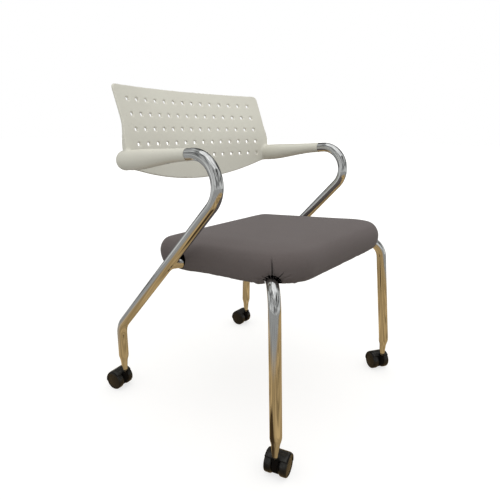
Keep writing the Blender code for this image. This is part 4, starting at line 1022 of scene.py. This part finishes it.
for vert, before, normal, out in zip(cushion.data.vertices, start, outward, swell):
    vert.co = before + normal * out
pad = bmesh.new()
pad.from_mesh(cushion.data)
bpy.data.objects.remove(cushion)
relaxed(pad, pad.verts, times=1)
bmesh.ops.subdivide_edges(pad, edges=pad.edges, cuts=1, use_grid_fill=True, smooth=1.0)
cloth_map = pad.loops.layers.uv.new("cloth")
pad.normal_update()
for face in pad.faces:
    for loop in face.loops:
        place = loop.vert.co
        drop = SEAT_ABOVE - place.z
        loop[cloth_map].uv = (place.x + loop.vert.normal.x * drop, place.y + loop.vert.normal.y * drop)
seat_plane = Matrix.Translation(SEAT_MIDDLE) @ Matrix.Rotation(SEAT_TILT, 4, "X")
bmesh.ops.transform(pad, matrix=seat_plane, verts=pad.verts)

# Gathers: round each slit the cover is drawn in, with creases that run out from the leg like spokes
slits = {}
for side in SIDES.values():
    front, top = on_side([RAIL_FRONT, FRONT_TOP], side)
    inward = (front - top).normalized()
    across = inward.cross(Z).normalized() * -side
    over = across.cross(inward).normalized()
    over = over if over.z > 0 else -over
    slits[side] = (top + over * SLIT_RISE, inward, across, over)
for reach in (GATHER_REACH, GATHER_FINE_REACH):
    for middle, inward, across, over in slits.values():
        near = {vert for vert in pad.verts if (vert.co - middle - inward * GATHER_INWARD).length < reach}
        edges = [edge for edge in pad.edges if near.issuperset(edge.verts)]
        bmesh.ops.subdivide_edges(pad, edges=edges, cuts=1, use_grid_fill=True, smooth=1.0)
pad.normal_update()
for middle, inward, across, over in slits.values():
    for vert in pad.verts:
        off = vert.co - middle
        away = (off - inward * GATHER_INWARD).length
        if away > GATHER_END or off.dot(inward) > GATHER_DEPTH:
            continue
        sideways, upward = off.dot(across), off.dot(over)
        spread = math.hypot(sideways, upward)
        sunk = SLIT_SUNK * bell(max(spread - SLIT_RADIUS, 0.0) / SLIT_SUNK_REACH)
        for angle, begin, end, depth, width in CREASES:
            line = Vector((math.sin(math.radians(angle)), math.cos(math.radians(angle))))
            run = sideways * line.x + upward * line.y
            wide = abs(sideways * line.y - upward * line.x) / width
            if begin < run < end and wide < CREASE_REACH:
                fade = 1 - ((run - begin) / (end - begin)) ** 2
                sunk += depth * fade * (bell(wide) - CREASE_RIDGE * bell(wide - CREASE_RIDGE_AT))
        vert.co += inward * sunk

# Over each branch the cover is pushed out by the tube that runs through it
pad.normal_update()
branches = {}
for side in SIDES.values():
    inner, outer = on_side([RAIL_REAR, BRANCH_END], side)
    out = (outer - inner).normalized()
    branches[side] = (outer + out * BRANCH_SLIT_PROUD + Z * BRANCH_SLIT_RISE, -out)
    for vert in pad.verts:
        off = vert.co - inner
        aside = (off - out * off.dot(out)).length / BRANCH_SWELL_REACH
        if off.dot(out) > 0 and aside < BELL_END:
            vert.co += out * BRANCH_SWELL * bell(aside) * eased(vert.normal.dot(out) / BRANCH_SWELL_FACING)

# Below the edge the stapled cover puckers a little, most of all beside the legs
into_plane = seat_plane.inverted()
for vert in pad.verts:
    local = into_plane @ vert.co
    low = eased((-local.z - PUCKER_FROM) / PUCKER_OVER)
    if low > 0:
        from_leg = min((vert.co - slit[0]).length for slit in slits.values())
        coarse = noise.noise(Vector((vert.co.x, vert.co.y, 0)) / PUCKER_SIZE)
        fine = noise.noise(Vector((vert.co.y, vert.co.x, 1)) / PUCKER_FINE_SIZE)
        deep = PUCKER + PUCKER_AT_LEG * bell(from_leg / PUCKER_REACH)
        lift = GATHER_LIFT * bell(from_leg / GATHER_LIFT_REACH)
        vert.co.z += low * (deep * (coarse + PUCKER_FINE_SHARE * fine) + lift)

# The underside is open over the pan, and the tubes pass through the cover
cushion = made_of(pad, "pad_cut")
pocket = bmesh.new()
seat_plan(pocket, POCKET_INSET, -POCKET_FLOOR)
raise_plan(pocket, POCKET_FLOOR + PAN_TOP)
on_rails = Matrix.Translation(RAIL_PLANE) @ Matrix.Rotation(RAIL_TILT, 4, "X")
bmesh.ops.transform(pocket, matrix=on_rails @ Matrix.Translation((0, SEAT_MIDDLE.y, 0)), verts=pocket.verts)
cutters = [made_of(pocket, "pocket")]
for side, (middle, inward, across, over) in slits.items():
    passage = bmesh.new()
    low = FRONT_TOP - Z * PASSAGE_DROP + (FRONT_FOOT - FRONT_TOP) * PASSAGE_LEAN
    line = on_side([low, FRONT_TOP, RAIL_FRONT, RAIL_REAR, BRANCH_END], side)
    first, last = bent_tube(passage, line, [FRONT_BEND, RAIL_BEND, RAIL_BEND], PASSAGE_RADIUS)
    bmesh.ops.contextual_create(passage, geom=first)
    bmesh.ops.contextual_create(passage, geom=last)
    bmesh.ops.recalc_face_normals(passage, faces=passage.faces)
    cutters.append(made_of(passage, "passage"))
    slit = bmesh.new()
    stand = Matrix((across, over, inward)).transposed().to_4x4()
    stand = Matrix.Translation(middle + inward * SLIT_INWARD) @ stand
    capped_cone(slit, SLIT_RADIUS, SLIT_RADIUS * SLIT_NARROWS, SLIT_DEPTH, SLIT_SIDES, stand)
    for vert in slit.verts:
        off = vert.co - middle
        sideways, upward = off.dot(across), off.dot(over)
        rough = 1 + SLIT_ROUGH * noise.noise(Vector((sideways, upward, 0)) / SLIT_ROUGH_SIZE)
        vert.co = middle + inward * off.dot(inward) + (across * sideways + over * upward) * rough
    bmesh.ops.recalc_face_normals(slit, faces=slit.faces)
    cutters.append(made_of(slit, "slit"))
    mouth, inward = branches[side]
    slit = bmesh.new()
    stand = Matrix.Translation(mouth + inward * BRANCH_SLIT_DEPTH / 2) @ facing(inward)
    capped_cone(slit, BRANCH_SLIT_RADIUS, BRANCH_SLIT_RADIUS, BRANCH_SLIT_DEPTH, TUBE_SIDES, stand)
    cutters.append(made_of(slit, "branch_slit"))
for cutter in cutters:
    cut = cushion.modifiers.new("cut", "BOOLEAN")
    cut.operation = "DIFFERENCE"
    cut.solver = "MANIFOLD"
    cut.object = cutter
pad = settled(cushion)
for cutter in cutters:
    bpy.data.objects.remove(cutter)
cushion = piece(pad, "seat_cushion", fabric, "frame", ["seat_cover", "seat_foam"], sharp=60)
cushion.data.materials.append(slit_shade_lining)
# Faces inside the slits that face in take the near-black lining: painted shade
openings = [(slit[0], slit[1]) for slit in slits.values()] + list(branches.values())
for face in cushion.data.polygons:
    for middle, inward in openings:
        off = face.center - middle
        deep = off.dot(inward)
        aside = off - inward * deep
        if aside.length < SHADE_LINING_REACH and 0 < deep < SHADE_LINING_DEPTH and face.normal.dot(aside) < 0:
            face.material_index = 1

# Studio. A pale floor that runs on as a white ground, soft lamps above and to one side, a glowing tan board
# and a glowing grey tent that only the chrome's mirror sees, which paint its reflections, and the camera.
FLOOR_SIZE = 20.0
FLOOR_GLOW = 0.70
FLOOR_GLOW_FAR = 0.95
ROOM_LIGHT = 0.80
CARD_RADIUS = 3.6
BOARD_HEIGHT = 0.002
DARK_SIDE = (0.79, 0.61, 0.0)
TAN_MIDDLE = (0.15, -0.5, 0.0)
SHADOW_BELOW_ARM = (-0.42, -0.16, 0.0)
PHOTO_WIDTH = 500
FOCAL_SHARE = 439.47 / PHOTO_WIDTH
CAMERA_PLACE = (-0.8927, -0.6684, 0.6843)
YAW = math.radians(51.86)
PITCH = math.radians(15.65)
ROLL = math.radians(-0.7816)

# Each lamp's place, the point it faces, its size and its power
LAMPS = {
    "top_lamp": ((0.0, -0.4, 2.4), (0, 0, 0.3), 2.4, 14.0),
    "side_lamp": ((-2.4, -0.2, 1.2), (0, 0, 0.5), 1.6, 2.6),
}


def stage_piece(work, name, look):
    """Makes a piece of the studio, which isn't part of the chair."""
    made = made_of(work, name)
    made.data.materials.append(look)
    return made


def shown_rays(output):
    """1 for the rays that see the ground: from the camera, off gloss and through glass."""
    rays = [add(output, "ShaderNodeLightPath", out=number) for number in (0, 3, 6)]
    seen = add(output, "ShaderNodeMath", links={0: rays[0], 1: rays[1]}, operation="MAXIMUM")
    return add(output, "ShaderNodeMath", links={0: seen, 1: rays[2]}, operation="MAXIMUM")


def dimmed(output, place, span):
    """How bright a glowing card is, which falls off towards the dark side: painted shade in its reflection.
    """
    towards = add(output, "ShaderNodeVectorMath", {1: DARK_SIDE}, {0: place}, out=1, operation="DOT_PRODUCT")
    return add(output, "ShaderNodeMapRange", span, {"Value": towards})


def bare(owner, kind):
    """Empties a node tree but for its output."""
    owner.use_nodes = True
    owner.node_tree.nodes.clear()
    return owner.node_tree.nodes.new(kind)


# White paper: matt, so that it keeps the chair's shadow, with a glow that makes it a white ground further out
paper = bpy.data.materials.new("white_paper_ground")
output = bare(paper, "ShaderNodeOutputMaterial")
place = add(output, "ShaderNodeTexCoord", out=3)
away = add(output, "ShaderNodeVectorMath", links={0: place}, out=1, operation="LENGTH")
outward = {"From Min": 0.6, "From Max": 2.6, "To Min": FLOOR_GLOW, "To Max": FLOOR_GLOW_FAR}
glowing = add(output, "ShaderNodeMapRange", outward, {"Value": away})
strength = add(output, "ShaderNodeMath", links={0: shown_rays(output), 1: glowing}, operation="MULTIPLY")
glow = add(output, "ShaderNodeEmission", {"Color": linear("#FFFFFF")}, {"Strength": strength})
sheet = add(output, "ShaderNodeBsdfDiffuse", {"Color": linear("#A8A7A4")})
add(output, "ShaderNodeAddShader", links={0: sheet, 1: glow}, to="Surface")
work = bmesh.new()
bmesh.ops.create_grid(work, x_segments=1, y_segments=1, size=FLOOR_SIZE)
stage_piece(work, "floor", paper)

world = bpy.data.worlds.new("white_ground")
bpy.context.scene.world = world
output = bare(world, "ShaderNodeOutputWorld")
shown = {"Value": shown_rays(output)}
ambient = add(output, "ShaderNodeMapRange", {"To Min": ROOM_LIGHT, "To Max": 1.0}, shown)
add(output, "ShaderNodeBackground", {"Color": linear("#FFFFFF")}, {"Strength": ambient}, to="Surface")

# The board glows as a painted reflection: tan round the feet, with one dark spot of painted shadow, and grey
# further out, which gives the chrome its gold
board = bpy.data.materials.new("tan_reflection_board")
output = bare(board, "ShaderNodeOutputMaterial")
place = add(output, "ShaderNodeTexCoord", out=3)
grain_way = {"Rotation": (0, 0, math.radians(-38)), "Scale": (0.22, 1.0, 1.0)}
laid = add(output, "ShaderNodeMapping", grain_way, {"Vector": place})
plank = add(output, "ShaderNodeTexNoise", {"Scale": 1 / 0.13, "Detail": 4.0}, {"Vector": laid})
# The dark spot below the arm is a painted shadow, for the shade in the reflection on the arm's underside
from_shadow_spot = add(output, "ShaderNodeVectorMath", {1: SHADOW_BELOW_ARM}, {0: place}, out=1, operation="DISTANCE")
painted_shadow_spot = {"From Min": 0.08, "From Max": 0.18, "To Min": -0.7, "To Max": 0.16}
outer = add(output, "ShaderNodeMapRange", painted_shadow_spot, {"Value": from_shadow_spot})
contrast = {"From Min": 0.3, "From Max": 0.7, "To Min": 0.05, "To Max": 0.95}
streaks = add(output, "ShaderNodeMapRange", contrast, {"Value": plank})
share = add(output, "ShaderNodeMath", links={0: outer, 1: streaks}, operation="ADD", use_clamp=True)
tones = {6: linear("#4A3A26"), 7: linear("#EAC78D")}
warm = add(output, "ShaderNodeMix", tones, {0: share}, out=2, data_type="RGBA")
tones = {6: linear("#7E7D79"), 7: linear("#D6D7D6")}
cool = add(output, "ShaderNodeMix", tones, {0: streaks}, out=2, data_type="RGBA")
from_tan = add(output, "ShaderNodeVectorMath", {1: TAN_MIDDLE}, {0: place}, out=1, operation="DISTANCE")
rim = add(output, "ShaderNodeMapRange", {"From Min": 1.0, "From Max": 1.4}, {"Value": from_tan})
ground = add(output, "ShaderNodeMix", links={0: rim, 6: warm, 7: cool}, out=2, data_type="RGBA")
dim = dimmed(output, place, {"From Min": 0.5, "From Max": 1.4, "To Min": 1.0, "To Max": 0.35})
add(output, "ShaderNodeEmission", links={"Color": ground, "Strength": dim}, to="Surface")
work = bmesh.new()
lift = Matrix.Translation((0, 0, BOARD_HEIGHT))
bmesh.ops.create_circle(work, cap_ends=True, segments=64, radius=CARD_RADIUS, matrix=lift)
tan_reflection_board = stage_piece(work, "tan_reflection_board", board)

# The tent glows as a painted reflection of clouded grey cloth, paler low down and in painted shade on one
# side, for grey streaks and dark edges
tent = bpy.data.materials.new("grey_reflection_tent")
output = bare(tent, "ShaderNodeOutputMaterial")
place = add(output, "ShaderNodeTexCoord", out=3)
patch = add(output, "ShaderNodeTexNoise", {"Scale": 1 / 1.1, "Detail": 3.0}, {"Vector": place})
clouded = add(output, "ShaderNodeMapRange", {"From Min": 0.38, "From Max": 0.68}, {"Value": patch})
height = add(output, "ShaderNodeSeparateXYZ", links={0: place}, out=2)
low = add(output, "ShaderNodeMapRange", {"From Min": 1.3, "From Max": 0.3, "To Max": 0.3}, {"Value": height})
pale = add(output, "ShaderNodeMath", links={0: clouded, 1: low}, operation="ADD", use_clamp=True)
tones = {6: linear("#3C3D3D"), 7: linear("#F4F5F3")}
grey = add(output, "ShaderNodeMix", tones, {0: pale}, out=2, data_type="RGBA")
dim = dimmed(output, place, {"From Min": 1.6, "From Max": 3.2, "To Min": 1.0, "To Max": 0.2})
add(output, "ShaderNodeEmission", links={"Color": grey, "Strength": dim}, to="Surface")
work = bmesh.new()
bmesh.ops.create_icosphere(work, subdivisions=4, radius=CARD_RADIUS)
ball = work.verts[:] + work.edges[:] + work.faces[:]
bmesh.ops.bisect_plane(work, geom=ball, plane_co=Vector(), plane_no=-Z, clear_outer=True)
grey_reflection_tent = stage_piece(work, "grey_reflection_tent", tent)
for card in (tan_reflection_board, grey_reflection_tent):
    card.visible_camera = False
    card.visible_diffuse = False
    card.visible_shadow = False
    card.visible_transmission = False

for name, (at, towards, size, power) in LAMPS.items():
    lamp = bpy.data.lights.new(name, "AREA")
    lamp.size = size
    lamp.energy = power
    light = bpy.data.objects.new(name, lamp)
    aim = (Vector(towards) - Vector(at)).to_track_quat("-Z", "Y").to_matrix().to_4x4()
    light.matrix_world = Matrix.Translation(at) @ aim
    light.visible_camera = False
    bpy.context.scene.collection.objects.link(light)

lens = bpy.data.cameras.new("camera")
lens.sensor_width = 36.0
lens.lens = FOCAL_SHARE * lens.sensor_width
camera = bpy.data.objects.new("camera", lens)
bpy.context.scene.collection.objects.link(camera)
looking = Vector((math.sin(YAW) * math.cos(PITCH), math.cos(YAW) * math.cos(PITCH), -math.sin(PITCH)))
level = looking.cross(Z).normalized()
down = looking.cross(level)
rightward = math.cos(ROLL) * level + math.sin(ROLL) * down
downward = math.cos(ROLL) * down - math.sin(ROLL) * level
turn = Matrix((rightward, -downward, -looking)).transposed().to_4x4()
camera.matrix_world = Matrix.Translation(CAMERA_PLACE) @ turn
bpy.context.scene.camera = camera
bpy.context.scene.view_settings.view_transform = "Standard"
